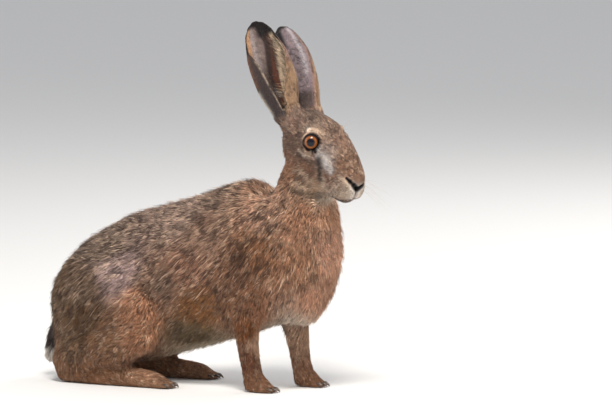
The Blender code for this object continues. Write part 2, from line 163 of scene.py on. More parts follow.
HEAD_LIE = [
    ((62, 0, -4), (-1, 0, 0.25), 3.5, 0.9, 0.6),
    ((45, 0, 5), (-1, 0, 0.35), 4.5, 1.1, 0.7),
    ((15, 0, 21), (-1, 0, 0.15), 6.5, 1.4, 0.8),
    ((-20, 0, 26), (-1, 0, -0.1), 8, 1.8, 0.9),
    ((-50, 0, 0), (-0.4, 0, -1), 12, 3.0, 1.3),
    ((28, -20, -5), (-0.95, -0.1, -0.2), 5, 1.1, 0.7),
    ((5, -27, -14), (-0.9, 0, -0.45), 5.5, 1.2, 0.8),
    ((-14, -27, -8), (-0.8, 0, -0.6), 6.5, 1.5, 0.9),
    ((8, -26, -28), (-0.75, 0, -0.65), 8, 1.8, 1.0),
    ((-15, -28, -38), (-0.55, 0, -0.85), 10, 2.4, 1.2),
    ((52, -17, -24), (-0.85, -0.2, -0.35), 4.5, 1.1, 0.7),
    ((57, -14, -33), (-0.7, -0.1, -0.7), 4.5, 1.1, 0.7),
    ((64, -4, -28), (-0.2, -0.4, -0.9), 3, 0.8, 0.6),
    ((55, 0, -42), (-0.9, 0, -0.3), 5, 1.2, 0.8),
    ((20, 0, -52), (-1, 0, -0.1), 9, 2.4, 1.1),
    ((-4, -22, 15), (-0.9, 0, 0.2), 5, 1.2, 0.8),
    ((-46, -20, 14), (-0.6, 0, 0.8), 6, 1.2, 0.9),
    ((-46, -2, 16), (-0.6, 0, 0.8), 6, 1.2, 0.9),
]

# Ground colours of the coat as seen, 0 to 255, and the share of dark-tipped tufts. Right side only. Low on
# the flank, belly, haunch and legs they are the coat's own colour darkened with painted shade.
GROUND = [
    ((118, -3, 235), (172, 126, 98), 0.20),
    ((85, -4, 222), (160, 122, 98), 0.35),
    ((40, 0, 220), (168, 139, 118), 0.42),
    ((-10, 0, 207), (182, 154, 137), 0.42),
    ((-80, 0, 184), (172, 146, 130), 0.42),
    ((-140, 0, 148), (134, 112, 96), 0.44),
    ((-168, 0, 100), (116, 92, 72), 0.35),
    ((-10, -35, 185), (182, 154, 137), 0.42),
    ((30, -46, 161), (170, 134, 112), 0.36),
    ((13, -49, 128), (176, 130, 105), 0.26),
    ((-20, -48, 110), (150, 118, 98), 0.22),
    # low flank and belly: the coat's colour darkened with painted shade under the body
    ((23, -46, 88), (144, 98, 60), 0.12),
    ((12, -30, 55), (112, 92, 64), 0.06),
    ((10, 0, 42), (176, 162, 142), 0.0),
    ((95, -50, 150), (178, 126, 90), 0.34),
    ((105, -40, 196), (220, 174, 146), 0.34),
    ((74, -50, 135), (150, 108, 82), 0.42),
    ((74, -50, 100), (150, 106, 78), 0.16),
    ((146, -38, 192), (182, 134, 104), 0.14),
    ((169, -14, 194), (198, 150, 118), 0.08),
    ((148, -41, 139), (174, 128, 98), 0.10),
    ((172, -10, 150), (210, 162, 136), 0.06),
    ((158, -10, 100), (186, 140, 114), 0.06),
    ((120, -5, 70), (200, 184, 168), 0.02),
    ((87, -52, 87), (150, 104, 76), 0.12),
    ((-89, -44, 150), (150, 128, 112), 0.40),
    ((-67, -61, 124), (186, 160, 154), 0.16),
    ((-105, -69, 105), (134, 108, 88), 0.40),
    # low haunch: the coat's colour darkened with painted shade
    ((-105, -69, 70), (108, 78, 50), 0.30),
    ((-150, -45, 100), (118, 92, 70), 0.34),
    ((-32, -63, 90), (184, 132, 100), 0.08),
    ((-38, -69, 61), (170, 122, 92), 0.04),
    ((-75, -68, 50), (140, 102, 74), 0.14),
    ((-120, -55, 45), (128, 98, 72), 0.20),
    ((-140, -44, 14), (150, 108, 80), 0.05),
    ((-90, -48, 13), (160, 116, 86), 0.05),
    ((-25, -50, 8), (168, 126, 98), 0.05),
]
FORELEG_GROUND = [
    # forelegs: the coat's colour darkened with painted shade
    ((88, -50, 66), (130, 80, 44), 0.10),
    ((91, -50, 36), (132, 84, 58), 0.10),
    ((94, -34, 50), (186, 150, 124), 0.02),
    ((106, -46, 8), (160, 116, 88), 0.06),
]
HEAD_GROUND = [
    ((62, 0, -4), (136, 103, 83), 0.30),
    ((45, 0, 5), (140, 106, 84), 0.45),
    ((45, -13, -4), (140, 106, 84), 0.32),
    ((15, 0, 21), (156, 122, 102), 0.45),
    ((-20, 0, 26), (148, 114, 92), 0.42),
    ((-50, 0, 0), (168, 126, 100), 0.20),
    ((28, -20, -5), (160, 142, 134), 0.14),
    ((5, -27, -16), (128, 94, 76), 0.22),
    ((-14, -27, -8), (130, 98, 80), 0.24),
    ((8, -26, -28), (130, 92, 72), 0.22),
    ((-15, -28, -38), (160, 116, 88), 0.16),
    ((40, -19, -20), (148, 110, 88), 0.20),
    ((52, -17, -24), (176, 147, 126), 0.16),
    ((57, -14, -33), (188, 162, 142), 0.12),
    ((64, -4, -28), (226, 214, 204), 0.02),
    ((55, 0, -42), (112, 94, 84), 0.20),
    ((20, 0, -52), (196, 178, 160), 0.03),
    ((19, -20, -43), (188, 154, 126), 0.05),
    ((-4, -22, 15), (172, 144, 124), 0.14),
    ((-46, -20, 14), (138, 112, 98), 0.25),
]
# Marks on the head, right side: line, radius, colour, strength. The dark marks that lie in the face's
# creases are painted shade.
HEAD_MARKS = [
    ([(-20, -25.5, 7.5), (-14, -25, 11.5), (-8, -24.5, 13.5)], 3.3, (236, 216, 196), 1.0),
    ([(11, -20.5, 8), (15, -22, 2)], 3.2, (206, 186, 172), 0.8),
    ([(16, -23, -6), (23, -21.5, -4), (30, -20, -6)], 4.6, (214, 204, 198), 0.9),
    ([(28, -20, -8), (37, -19, -13)], 5.0, (216, 208, 204), 0.9),
    ([(-9, -27, -13), (1, -27, -15.5), (11, -25.5, -11.5)], 2.2, (206, 186, 170), 0.85),
    # painted shade in the crease under the pale band below the eye
    ([(-10, -27, -18), (2, -27, -20), (14, -25.5, -15.5)], 2.2, (70, 50, 41), 0.85),
    # painted shade in the groove down the cheek
    ([(18.5, -24, -9), (24, -24, -17), (28.5, -23, -28)], 3.6, (44, 30, 24), 1.0),
    ([(-2, -27, -25), (10, -26, -24)], 5.0, (156, 112, 82), 0.6),
    ([(-4, -29, -34), (8, -26, -33), (16, -23, -38)], 3.4, (204, 178, 152), 0.65),
    # painted shade in the crease under the cheek's pale ruff
    ([(-3, -29, -41), (9, -26, -42), (17, -22, -44)], 2.6, (80, 57, 44), 0.8),
    ([(2, -29, -48), (14, -25, -48), (26, -19, -42)], 3.6, (212, 184, 158), 0.75),
    # painted shadow under the jaw, in its crease
    ([(4, -31, -54), (16, -26, -54), (27, -14, -51), (42, -8, -48)], 4.5, (62, 43, 33), 0.9),
    ([(33, -21, -26), (35, -19, -36)], 3.0, (206, 186, 166), 0.7),
    ([(47, -15, -3), (56, -11, -5)], 3.2, (142, 100, 74), 0.6),
    ([(50, -16, -15), (59, -14, -17)], 2.6, (214, 190, 166), 0.7),
    ([(60, -13, -21), (63, -9, -27), (58, -13, -30)], 4.2, (204, 184, 162), 0.7),
    ([(48, -15, -36), (58, -7, -38)], 2.6, (178, 150, 126), 0.6),
    ([(46, -13, -41), (57, -5, -42), (58, 0, -43)], 2.6, (70, 58, 56), 0.75),
    ([(-34, -20, 14), (-22, -14, 22)], 4.5, (110, 86, 72), 0.5),
    ([(12, -25, -1), (16.5, -23.3, -3.5)], 1.7, (20, 16, 15), 1.0),
]
EAR_SLIT = [(-80, -12, 21), (-72, -13, 17), (-58, -20, 15), (-46, -25, 11.5)]
NOSTRIL = [  # right side: two ends and radius
    ((57, -13.5, -12), (61.5, -11, -14), 0.7),
    ((61, -11, -14), (64.5, -7, -17), 1.5),
    ((64.5, -7, -17), (66, -1, -22), 2.2),
]
PHILTRUM = ((66, 0, -22), (64, 0, -34))
MOUTH = [((64, -1, -34.5), (58, -8, -39.5)), ((58, -8, -39.5), (46, -12.5, -42))]
WHISKER_ROWS = [
    ((45, -18, -17), (60, -13.5, -19)),
    ((45, -18, -22), (61, -13, -24)),
    ((46, -17, -27), (60, -12, -29)),
]
# Creases pressed into the skin: line, radius, depth. Right side, first the head and then the body. Along
# the body's creases the colour is also darkened as painted shade.
HEAD_CREASES = [
    ([(19.5, -23, -8), (25, -23, -17), (30, -22, -28)], 3.2, 1.1),
    ([(4, -31, -54), (16, -26, -54), (27, -14, -51), (42, -8, -48)], 4.5, 3.0),
    ([(1, -29, -42), (9, -26, -42), (17, -22, -44)], 3.0, 1.2),
    ([(-8, -27, -18), (2, -27, -19.5), (12, -25.5, -15.5)], 2.0, 0.8),
    ([(-76, -12, 17), (-58, -20, 15), (-44, -26, 11)], 3.0, 1.6),
    ([(44, -16, -12), (52, -14, -12)], 3.0, 0.8),
]
BODY_CREASES = [
    ([(-46, -55, 118), (-38, -55, 112), (-25, -54, 99), (-17, -54, 82), (-22, -60, 63)], 6.0, 3.2),
    ([(-84, -70, 86), (-68, -70, 82), (-50, -70, 83)], 5.0, 1.6),
    ([(74, -50, 130), (84, -50, 155), (112, -45, 174)], 9.0, 2.0),
    ([(68, -50, 106), (78, -50, 95), (90, -52, 86)], 6.0, 2.6),
    ([(97, -32, 206), (93, -46, 183)], 8.0, 1.6),
    ([(125, -37, 212), (118, -40, 191)], 7.0, 1.5),
]
WHISKER_PAD = ((57, -13, -25), (60, -10, -29))
# All that is pressed into the face, and the whisker pad, which is raised: line, radius, depth.
FACE_PRESSES = HEAD_CREASES + [((start, end), radius + 0.2, 3.0) for start, end, radius in NOSTRIL]
FACE_PRESSES += [(line, 1.3, 1.4) for line in MOUTH] + [(WHISKER_PAD, 6, -0.8)]
# Toes of the right side: x and y of the root, spread, length.
TOES = {"fore": (97, -36, 8, 17), "hind": (-26, -50, 10, 24)}
TOE_FAN = (-1, -1 / 3, 1 / 3, 1)  # where the toes stand across the paw
# A claw's places: distance past the toe's tip, height, radius.
CLAW = [(-2, 4.6, 1.5), (2, 4.3, 1.4), (4.4, 3.0, 0.9), (5.8, 1.2, 0.35)]

PIECE_TRIANGLES = 190000
LAYER_WORDS = ("name", "kind", "tufts", "stations", "length", "width", "rough", "clump", "pull", "height")
LAYERS = [
    # length, width and height are factors on the coat's own; clump is the number of tufts in one
    ("under", "long", 27000, 3, 0.75, 1.3, 0.12, 9, 0.35, 0.75),
    ("over", "long", 36000, 3, 0.68, 0.72, 0.20, 8, 0.6, 1.15),
    ("tick", "long", 60000, 2, 0.48, 0.5, 0.22, 10, 0.6, 1.5),
    ("stray", "long", 6000, 4, 1.1, 0.34, 0.3, 3, 0.2, 1.7),
    ("short", "short", 98000, 2, 0.9, 0.9, 0.22, 6, 0.4, 1.1),
    ("ear", "ear", 32000, 2, 1.0, 0.9, 0.1, 5, 0.25, 1.0),
]
# Length, depth and width of the ear's hair, each on the leaf and what the fringe adds.
EAR_COAT = ((4.5, 6), (0.3, 1.5), (0.7, 0.15))
# Share of a tuft's width at each station but the tip, for each number of stations.
TUFT_WIDTHS = {2: [1.0], 3: [0.75, 1.0], 4: [0.6, 1.0, 0.8]}
TUFT_RISE = 0.8  # height of a tuft's ridge as a share of half its width
TUFT_ROOT = 0.5  # how deep a tuft starts under the skin
TUFT_PATCH = 0.0028  # size of a tuft's patch on the map
SKIN_HEIGHT = 0.2  # lowest place of the skin over the floor
TUFT_HEIGHT = 0.25  # the same of the tufts

UNDERFUR = (98, 76, 62)
TICK_DARK = (54, 39, 35)
TICK_LIGHT = (230, 198, 170)
LIGHT_GROUND = 0.25  # ground at least this bright, as a linear value, has full pale tips
PATCHES = {  # size of the dark and the pale patches, and how far the patch and the clump decide a tuft
    "long": (6.0, 1.2, 1.0),
    "short": (2.1, 2.1, 0.4),
    "ear": (3.0, 1.6, 0.3),
}
PATCH_SEEDS = (32, 35)  # of the dark and of the pale patches
NOISES = {  # size of the lumps, and seed
    "hollows": (17, 51),
    "dents": (9, 52),
    "ear patches": (3.2, 21),
    "ear streaks": (1.0, 22),
    "whisker dots": (2.2, 41),
    "broad tone": (26, 5),
    "fine tone": (7, 6),
    "dark tips": (15, 8),
    "turn": (14, 11),
}
DARKEST = 0.002  # lowest linear value of a colour

LID_RING = (214, 190, 166)
LID_RIM = (20, 16, 15)
LIP_LINE = (56, 44, 42)
LIP_CLEFT = (58, 46, 44)
WHISKER_ROOT = (58, 42, 34)
# near black: painted shade inside the nostrils' slits
NOSTRIL_SHADE = (22, 16, 16)
# painted shade in the slit where the ear meets the head
EAR_SLIT_SHADE = (44, 33, 30)
TAIL_WHITE = (226, 218, 210)
TAIL_BLACK = (62, 52, 48)
EAR_TONES = {
    "back": (148, 130, 134),
    "stripe": (208, 208, 224),
    "front line": (212, 202, 206),
    "fold": (164, 128, 112),
    "fold streaks": (80, 60, 55),
    "front sand": (172, 138, 106),
    "front streaks": (112, 80, 58),
    "rear": (52, 42, 40),
    "rear red": (168, 118, 88),
    "rear cream": (236, 222, 208),
    "root": (76, 61, 56),
    "patches": (66, 54, 52),
    "back tip": (34, 29, 30),
    "hollow": (128, 110, 106),
    "hollow root": (76, 62, 57),
    "hollow grey": (182, 170, 168),
    "hollow sand": (200, 154, 118),
    # painted shade deep in the ear's hollow
    "hollow shade": (52, 37, 33),
    "hollow red": (108, 63, 46),
    "hollow cream": (216, 192, 164),
    "hollow front": (176, 138, 104),
    "hollow patches": (70, 56, 52),
    "rear hair": (200, 178, 156),
    "edge": (34, 28, 28),
    "black": (30, 25, 26),
}
EAR_BANDS = [
    # share of the length, and the degrees from which the hollow gets its dark band of painted shade, red
    # brown and cream
    (0.3, -14, -8, 4),
    (0.4, -17, -6, 9),
    (0.5, -22, -9, 12),
    (0.65, -12, 6, 27),
    (0.8, 3, 25, 42),
    (0.9, 0, 25, 42),
]


def linear(colour):
    """A colour as seen, 0 to 255, as linear values."""
    c = np.asarray(colour, float) / 255
    return np.where(c <= 0.04045, c / 12.92, ((c + 0.055) / 1.055) ** 2.4)


def unit(v):
    v = np.asarray(v, float)
    return v / np.maximum(np.linalg.norm(v, axis=-1, keepdims=True), 1e-9)


def fade(value, start, end):
    """0 at start and before, 1 at end and after, smooth between them."""
    t = np.clip((value - start) / (end - start), 0, 1)
    return t * t * (3 - 2 * t)


def bell(distance, radius, power=2):
    """1 at no distance and little past the radius, with a harder edge for a higher power."""
    return np.exp(-((distance / radius) ** power))


def band(value, centre, width):
    """1 in the middle of a stripe, less and less on both sides of it."""
    return bell(value - centre, width)


def between(value, start, end, soft):
    """1 from start to end, with soft ends."""
    return fade(value, start - soft, start + soft) * (1 - fade(value, end - soft, end + soft))


def blend(old, new, share):
    """The old values where the share is 0, the new ones where it is 1."""
    share = share[:, None] if old.ndim == 2 else share
    return old * (1 - share) + new * share


def mix(colour, other, share):
    """The colour with another one, given as seen, mixed in."""
    return blend(colour, linear(other), np.asarray(share))


def interpolate(t, rows):
    """Values at t from rows of a place and its values, one array for each column."""
    places, *columns = zip(*rows)
    return [np.interp(t, places, column) for column in columns]


HEAD_AXES = np.array(Euler((0, math.radians(HEAD_PITCH), math.radians(HEAD_TURN)), "XYZ").to_matrix())


def to_head(points):
    return (np.asarray(points, float) - HEAD_PLACE) @ HEAD_AXES


def from_head(points):
    return np.asarray(points, float) @ HEAD_AXES.T + HEAD_PLACE


def eye_axis(side):
    """The eye's centre and the direction it looks in, in the head's frame."""
    out, rise = math.radians(EYE_OUT), math.radians(EYE_RISE)
    look = np.array((math.cos(out) * math.cos(rise), side * math.sin(out) * math.cos(rise), math.sin(rise)))
    return EYE_PLACE * (1, side, 1), look


def round_eye(head_points, side):
    """Angle from the eye's axis in degrees, distance from its centre and direction from there."""
    centre, look = eye_axis(side)
    out = head_points - centre
    distance = np.linalg.norm(out, axis=1)
    direction = out / np.maximum(distance, 1e-6)[:, None]
    return np.degrees(np.arccos(np.clip(direction @ look, -1, 1))), distance, direction


# Meshes

def new_object(name, data):
    obj = bpy.data.objects.new(name, data)
    bpy.context.scene.collection.objects.link(obj)
    return obj


def finished(bm, name):
    """A new mesh with what was built."""
    mesh = bpy.data.meshes.new(name)
    bm.to_mesh(mesh)
    bm.free()
    return mesh


def read(items, key, width, kind=np.float32):
    """One property of all vertices, edges or corners, a row for each."""
    values = np.empty(len(items) * width, kind)
    items.foreach_get(key, values)
    return values.reshape(-1, width)


def mesh_points(mesh):
    return read(mesh.vertices, "co", 3).astype(float)


def mesh_normals(mesh):
    return read(mesh.vertex_normals, "vector", 3).astype(float)


def mesh_edges(mesh):
    return read(mesh.edges, "vertices", 2, np.int32)


def set_points(mesh, points):
    mesh.vertices.foreach_set("co", np.ascontiguousarray(points, np.float32).ravel())
    mesh.update()


def shade_smooth(mesh):
    mesh.polygons.foreach_set("use_smooth", np.ones(len(mesh.polygons), bool))


def to_row(points, origin):
    """Points of the drawing in the frame."""
    return (np.asarray(points, float) * MM) + np.array(origin)


def place_mesh(mesh, origin):
    set_points(mesh, to_row(mesh_points(mesh), origin))


def paint(mesh, colours):
    attribute = mesh.color_attributes.new(name="coat", type="FLOAT_COLOR", domain="POINT")
    rgba = np.ones((len(colours), 4), np.float32)
    rgba[:, :3] = colours
    attribute.data.foreach_set("color", rgba.ravel())


def with_modifier(obj, kind, **settings):
    """Replaces the object's mesh by the result of one modifier."""
    modifier = obj.modifiers.new("work", kind)
    for key, value in settings.items():
        setattr(modifier, key, value)
    graph = bpy.context.evaluated_depsgraph_get()
    result = bpy.data.meshes.new_from_object(obj.evaluated_get(graph))
    obj.modifiers.clear()
    obj.data = result


def relax(points, edges, rounds, free):
    """Moves each point towards the mean of its neighbours, by its own freedom from 0 to 1."""
    count = np.bincount(edges.ravel(), minlength=len(points)).astype(float)
    free = free * 0.5
    for _ in range(rounds):
        for axis in range(3):
            values = points[:, axis]
            total = np.bincount(edges[:, 0], values[edges[:, 1]], len(points))
            total += np.bincount(edges[:, 1], values[edges[:, 0]], len(points))
            points[:, axis] = values + (total / np.maximum(count, 1) - values) * free
    return points


def along_skin(flow, normals):
    """Directions turned into the plane of the skin."""
    return unit(flow - normals * (flow * normals).sum(1)[:, None])


def blend_places(points, places, values, sharpness=4, soft=8.0):
    """Values at points as a mean of the values at places, by inverse distance."""
    out = np.empty((len(points), values.shape[1]))
    block = 20000
    for start in range(0, len(points), block):
        part = points[start : start + block]
        apart = ((part[:, None, :] - places[None, :, :]) ** 2).sum(2) + soft * soft
        weight = apart ** (-sharpness / 2)
        out[start : start + block] = (weight @ values) / weight.sum(1, keepdims=True)
    return out


def along_line(points, start, end):
    """Distance of each point from a line's nearest point."""
    start, end = np.array(start, float), np.array(end, float)
    t = np.clip((points - start) @ (end - start) / max(((end - start) ** 2).sum(), 1e-9), 0, 1)
    return np.linalg.norm(points - start - t[:, None] * (end - start), axis=1)


def along_path(points, path, side):
    """Distance of each point from a path that is given for the right side."""
    path = [(x, y * -side, z) for x, y, z in path]
    return np.min([along_line(points, a, b) for a, b in zip(path, path[1:])], axis=0)


def toe_tips(kind, side):
    """Root and tip of each toe, in the drawing's frame."""
    x, y, spread, reach = TOES[kind]
    x += LEFT_AHEAD if kind == "fore" and side > 0 else 0
    for across in TOE_FAN:
        length = reach * (1 - 0.18 * across * across)
        yield (x, -side * y + spread * 0.6 * across, 5), (x + length, -side * y + spread * across, 4)


def toe_gaps(kind, side):
    """Lines between neighbouring toes."""
    tips = list(toe_tips(kind, side))
    for (root, tip), (next_root, next_tip) in zip(tips, tips[1:]):
        low = [(a + b) / 2 for a, b in zip(tip, next_tip)]
        high = [(a + b) / 2 for a, b in zip(root, next_root)]
        yield (high[0] + 2, high[1], 9), (low[0], low[1], 5)


# Ears

def ear_section(side, t):
    """At shares t of the ear: spine point, opening and front directions, half width, depth, edge angles."""
    root, along, bow, first, last = (np.array(v, float) for v in EARS[side])
    along = unit(along)
    pitch = math.radians(HEAD_PITCH)
    heading = np.radians(first + (last - first) * np.minimum(t / 0.7, 1))
    x, y = np.cos(heading), np.sin(heading)
    level = np.stack([x * math.cos(pitch), y, x * math.sin(pitch)], -1)
    opens = unit(level - along * (level @ along)[..., None])
    to_front = np.cross(along, opens) * -side
    spine = root + along * EAR_LENGTH * t[..., None] + bow * np.sin(math.pi * t)[..., None]
    return spine, opens, to_front, *interpolate(t, EAR_LEAF)


def ear_leaf(side):
    """The ear's leaf as a closed solid in the drawing's frame."""
    rows, columns = 80, 48
    t = 1 - (1 - np.linspace(0, 1, rows + 1)) ** 1.35
    spine, opens, to_front, half_width, depth, rear, front = ear_section(side, t)
    a = np.radians(-rear[:, None] + (rear + front)[:, None] * np.linspace(0, 1, columns + 1))[..., None]
    sheets = []
    for offset in (-EAR_SKIN / 2, EAR_SKIN / 2):
        wide, deep = ((v + offset)[:, None, None] for v in (half_width, depth))
        across = to_front[:, None] * wide * np.sin(a)
        sheets.append(spine[:, None] + across - opens[:, None] * deep * np.cos(a))
    points = np.concatenate([from_head(sheet.reshape(-1, 3)) for sheet in sheets])
    width, size = columns + 1, (rows + 1) * (columns + 1)
    faces = []
    for r in range(rows):
        for c in range(columns):
            k = r * width + c
            faces.append((k, k + 1, k + width + 1, k + width))
            faces.append((size + k, size + k + width, size + k + width + 1, size + k + 1))
    rim = list(range(width)) + [r * width + columns for r in range(1, rows + 1)]
    rim += [rows * width + c for c in range(columns - 1, -1, -1)]
    rim += [r * width for r in range(rows - 1, 0, -1)]
    for k, n in zip(rim, rim[1:] + rim[:1]):
        faces.append((n, k, size + k, size + n))
    mesh = bpy.data.meshes.new("leaf")
    mesh.from_pydata(points.tolist(), [], faces)
    bm = bmesh.new()
    bm.from_mesh(mesh)
    bmesh.ops.recalc_face_normals(bm, faces=bm.faces)
    bm.to_mesh(mesh)
    bm.free()
    return mesh


def ear_coordinates(head_points, side):
    """For points near an ear: share of its length, degrees round it to the front, distance outside it."""
    root, along = np.array(EARS[side][0], float), unit(EARS[side][1])
    t = np.clip((head_points - root) @ along / EAR_LENGTH, 0, 1)
    spine, opens, to_front, half_width, depth, _, _ = ear_section(side, t)
    spoke = head_points - spine
    x, y = (spoke * to_front).sum(1) / half_width, -(spoke * opens).sum(1) / depth
    angle = np.arctan2(x, y)
    reach = np.hypot(half_width * np.sin(angle), depth * np.cos(angle))
    return t, np.degrees(angle), (np.hypot(x, y) - 1) * reach


def ear_share(t, outside):
    """1 on the free ear, 0 on the head, from an ear's own coordinates."""
    return (1 - fade(np.abs(outside), 2.6, 4.5)) * fade(t, 0.09, 0.17)


def on_ears(head_points):
    """1 on either free ear, 0 elsewhere."""
    places = [ear_coordinates(head_points, side) for side in (1, -1)]
    return np.maximum(*(ear_share(t, outside) for t, _, outside in places))


# The coat's tables over the body

def coat_table(body, foreleg, head, values_of):
    """Places of three lists' rows on both sides, in the drawing's frame, and the values of each row."""
    places, values = [], []
    for rows, ahead, in_head in ((body, 0, False), (foreleg, LEFT_AHEAD, False), (head, 0, True)):
        for side in (1, -1):
            for row in rows:
                place = np.array(row[0], float) * (1, -side, 1)
                place[0] += ahead if side > 0 else 0
                places.append(from_head(place) if in_head else place)
                values.append(values_of(row, side, in_head))
    return np.array(places), np.array(values, float)


def lie_values(row, side, in_head):
    """Direction of the hair, its length, the coat's depth and a tuft's width."""
    flow = unit(np.array(row[1], float) * (1, -side, 1))
    return [*(flow @ HEAD_AXES.T if in_head else flow), *row[2:]]


def ground_values(row, *_):
    """Linear colour and share of dark-tipped tufts, which are alike on both sides."""
    return [*linear(row[1]), row[2]]


def coat_fields(points, normals):
    """The lie of the coat at points on the skin: direction, length, depth and tuft width."""
    values = blend_places(points, *coat_table(LIE, FORELEG_LIE, HEAD_LIE, lie_values))
    flow, sizes = values[:, :3], [values[:, k] for k in (3, 4, 5)]
    head_points = to_head(points)
    for side in (1, -1):
        t, angle, outside = ear_coordinates(head_points, side)
        share = ear_share(t, outside)
        fringe = (outside < 0.3) * fade(angle, 8, 40) * (1 - fade(t, 0.74, 0.84))
        up = unit(EARS[side][1]) @ HEAD_AXES.T
        rearward = -ear_section(side, t)[2] @ HEAD_AXES.T
        flow = blend(flow, up + rearward * (0.9 * fringe)[:, None], share)
        sizes = [blend(size, leaf + more * fringe, share) for size, (leaf, more) in zip(sizes, EAR_COAT)]
    return along_skin(flow, normals), *sizes


# Skin

def joined_flesh(nodes, origin):
    """Copies of the flesh nodes, grown over the cuts, with the ears' leaves and the eyes, as one mesh."""
    bm = bmesh.new()
    for name in FLESH:
        part = bmesh.new()
        part.from_mesh(nodes[name].data)
        bmesh.ops.remove_doubles(part, verts=part.verts, dist=1e-6)
        part.normal_update()
        for vertex in part.verts:
            vertex.co += vertex.normal * CUT * MM
        part.transform(Matrix.Scale(1 / MM, 4) @ Matrix.Translation(-origin))
        mesh = finished(part, "part")
        bm.from_mesh(mesh)
        bpy.data.meshes.remove(mesh)
    for side in (1, -1):
        bm.from_mesh(ear_leaf(side))
        place = Matrix.Translation(from_head(eye_axis(side)[0]))
        bmesh.ops.create_icosphere(bm, subdivisions=4, radius=EYE_RADIUS, matrix=place)
    return new_object("skin", finished(bm, "skin"))


def refine(mesh, chosen):
    """Subdivides the edges that have both ends chosen."""
    bm = bmesh.new()
    bm.from_mesh(mesh)
    bm.edges.ensure_lookup_table()
    edges = [e for e in bm.edges if chosen[e.verts[0].index] and chosen[e.verts[1].index]]
    bmesh.ops.subdivide_edges(bm, edges=edges, cuts=1, use_grid_fill=True, smooth=0)
    bm.to_mesh(mesh)
    bm.free()


def near_toes(points):
    lines = [line for kind in TOES for side in (1, -1) for line in toe_tips(kind, side)]
    return np.any([along_line(points, *line) < 8 for line in lines], axis=0)


def near_features(points):
    """The front of the face, and round the eyes."""
    head = to_head(points)
    chosen = (head[:, 0] > 42) & (head[:, 2] < 8)
    for side in (1, -1):
        angle, distance, _ = round_eye(head, side)
        chosen |= (distance < 15) & (angle < 100)
    return chosen


def near_rims(points):
    """The lids' rims and the nostrils."""
    head = to_head(points)
    chosen = np.zeros(len(head), bool)
    for side in (1, -1):
        angle, distance, _ = round_eye(head, side)
        chosen |= (distance < 13) & (angle > LID_OPENING - 14) & (angle < LID_OPENING + 18)
        for *line, _ in NOSTRIL:
            chosen |= along_path(head, line, side) < 3.5
    return chosen


def relax_and_thin(skin):
    """Smooths the skin, least on the ears and the head, and thins it out, most on the body."""
    points, edges = mesh_points(skin.data), mesh_edges(skin.data)
    head_points = to_head(points)
    ears = on_ears(head_points)
    in_head = fade(head_points[:, 0], -60, -30) * fade(points[:, 2], 190, 215)
    for rounds, spare_ears, spare_head in RELAXING:
        points = relax(points, edges, rounds, (1 - ears * spare_ears) * (1 - spare_head * in_head))
    set_points(skin.data, points)
    feet = 1 - fade(points[:, 2], 16, 30)
    weights = np.clip(1 - np.maximum(np.maximum(ears, in_head), 0.6 * feet), 0, 1)
    group = skin.vertex_groups.new(name="coarse")
    half = 0.5 / WEIGHT_STEPS
    for level in np.linspace(0, 1, WEIGHT_STEPS + 1).tolist():
        chosen = np.nonzero((weights > level - half) & (weights <= level + half))[0]
        if len(chosen):
            group.add(chosen.tolist(), max(level, FINEST), "REPLACE")
    ratio = SKIN_TRIANGLES / (len(skin.data.polygons) * 2)
    settings = dict(vertex_group="coarse", vertex_group_factor=0.1, use_collapse_triangulate=True)
    with_modifier(skin, "DECIMATE", ratio=ratio, **settings)


def press(points, normals, away, radius, depth):
    """Pushes the points inward near a line."""
    return points - normals * (depth * bell(away, radius))[:, None]


def open_lids(head_points):
    """Lids round each eye: the skin goes behind the ball inside the opening and stands over its edge."""
    for side in (1, -1):
        centre, look = eye_axis(side)
        angle, distance, direction = round_eye(head_points, side)
        front = unit(np.array((1, 0, -0.35)) - look * look[0])
        corner = np.abs(unit(direction - look * (direction @ look)[:, None]) @ front)
        opening = LID_OPENING + LID_CORNER * corner**6
        inside = 1 - fade(angle, opening - 3.5, opening + 0.5)
        near = (1 - fade(distance, *LID_REACH)) * (angle < 125)
        past = np.maximum(angle - opening, 0)
        target = np.maximum(distance, (EYE_RADIUS + LID_GAP) * (angle < opening + 14))
        thickest = EYE_RADIUS + LID_THICKNESS + 0.10 * past + 9 * fade(past, 10, 22)
        target = np.minimum(target, thickest)
        target = target + LID_SWELL * band(past, 4.5, 4.5) * (angle > opening)
        target = blend(target, EYE_RADIUS - SOCKET_DEPTH, inside)
        distance = distance + (target - distance) * near
        head_points = centre + direction * distance[:, None]
    return head_points


def sink_skin(points, normals):
    """The skin's points sunk to under the coat, with hollows, and how free each is to be relaxed."""
    outer, head = points, to_head(points)
    depth = coat_fields(outer, normals)[2]
    eyes = np.maximum(*(1 - fade(round_eye(head, side)[1], 10.5, 16) for side in (1, -1)))
    ears = on_ears(head)
    points = outer - normals * (np.maximum(depth, THINNEST) * (1 - eyes) * (1 - ears))[:, None]
    lumps = 0.5 + 0.5 * noise(outer, "hollows") + 0.3 * noise(outer, "dents")
    deep_coat = depth > LONG_COAT_DEPTH
    points -= normals * (LUMP_DEPTH * depth * np.clip(lumps, 0, 1) * deep_coat)[:, None]
    return points, (1 - eyes) * (1 - ears)


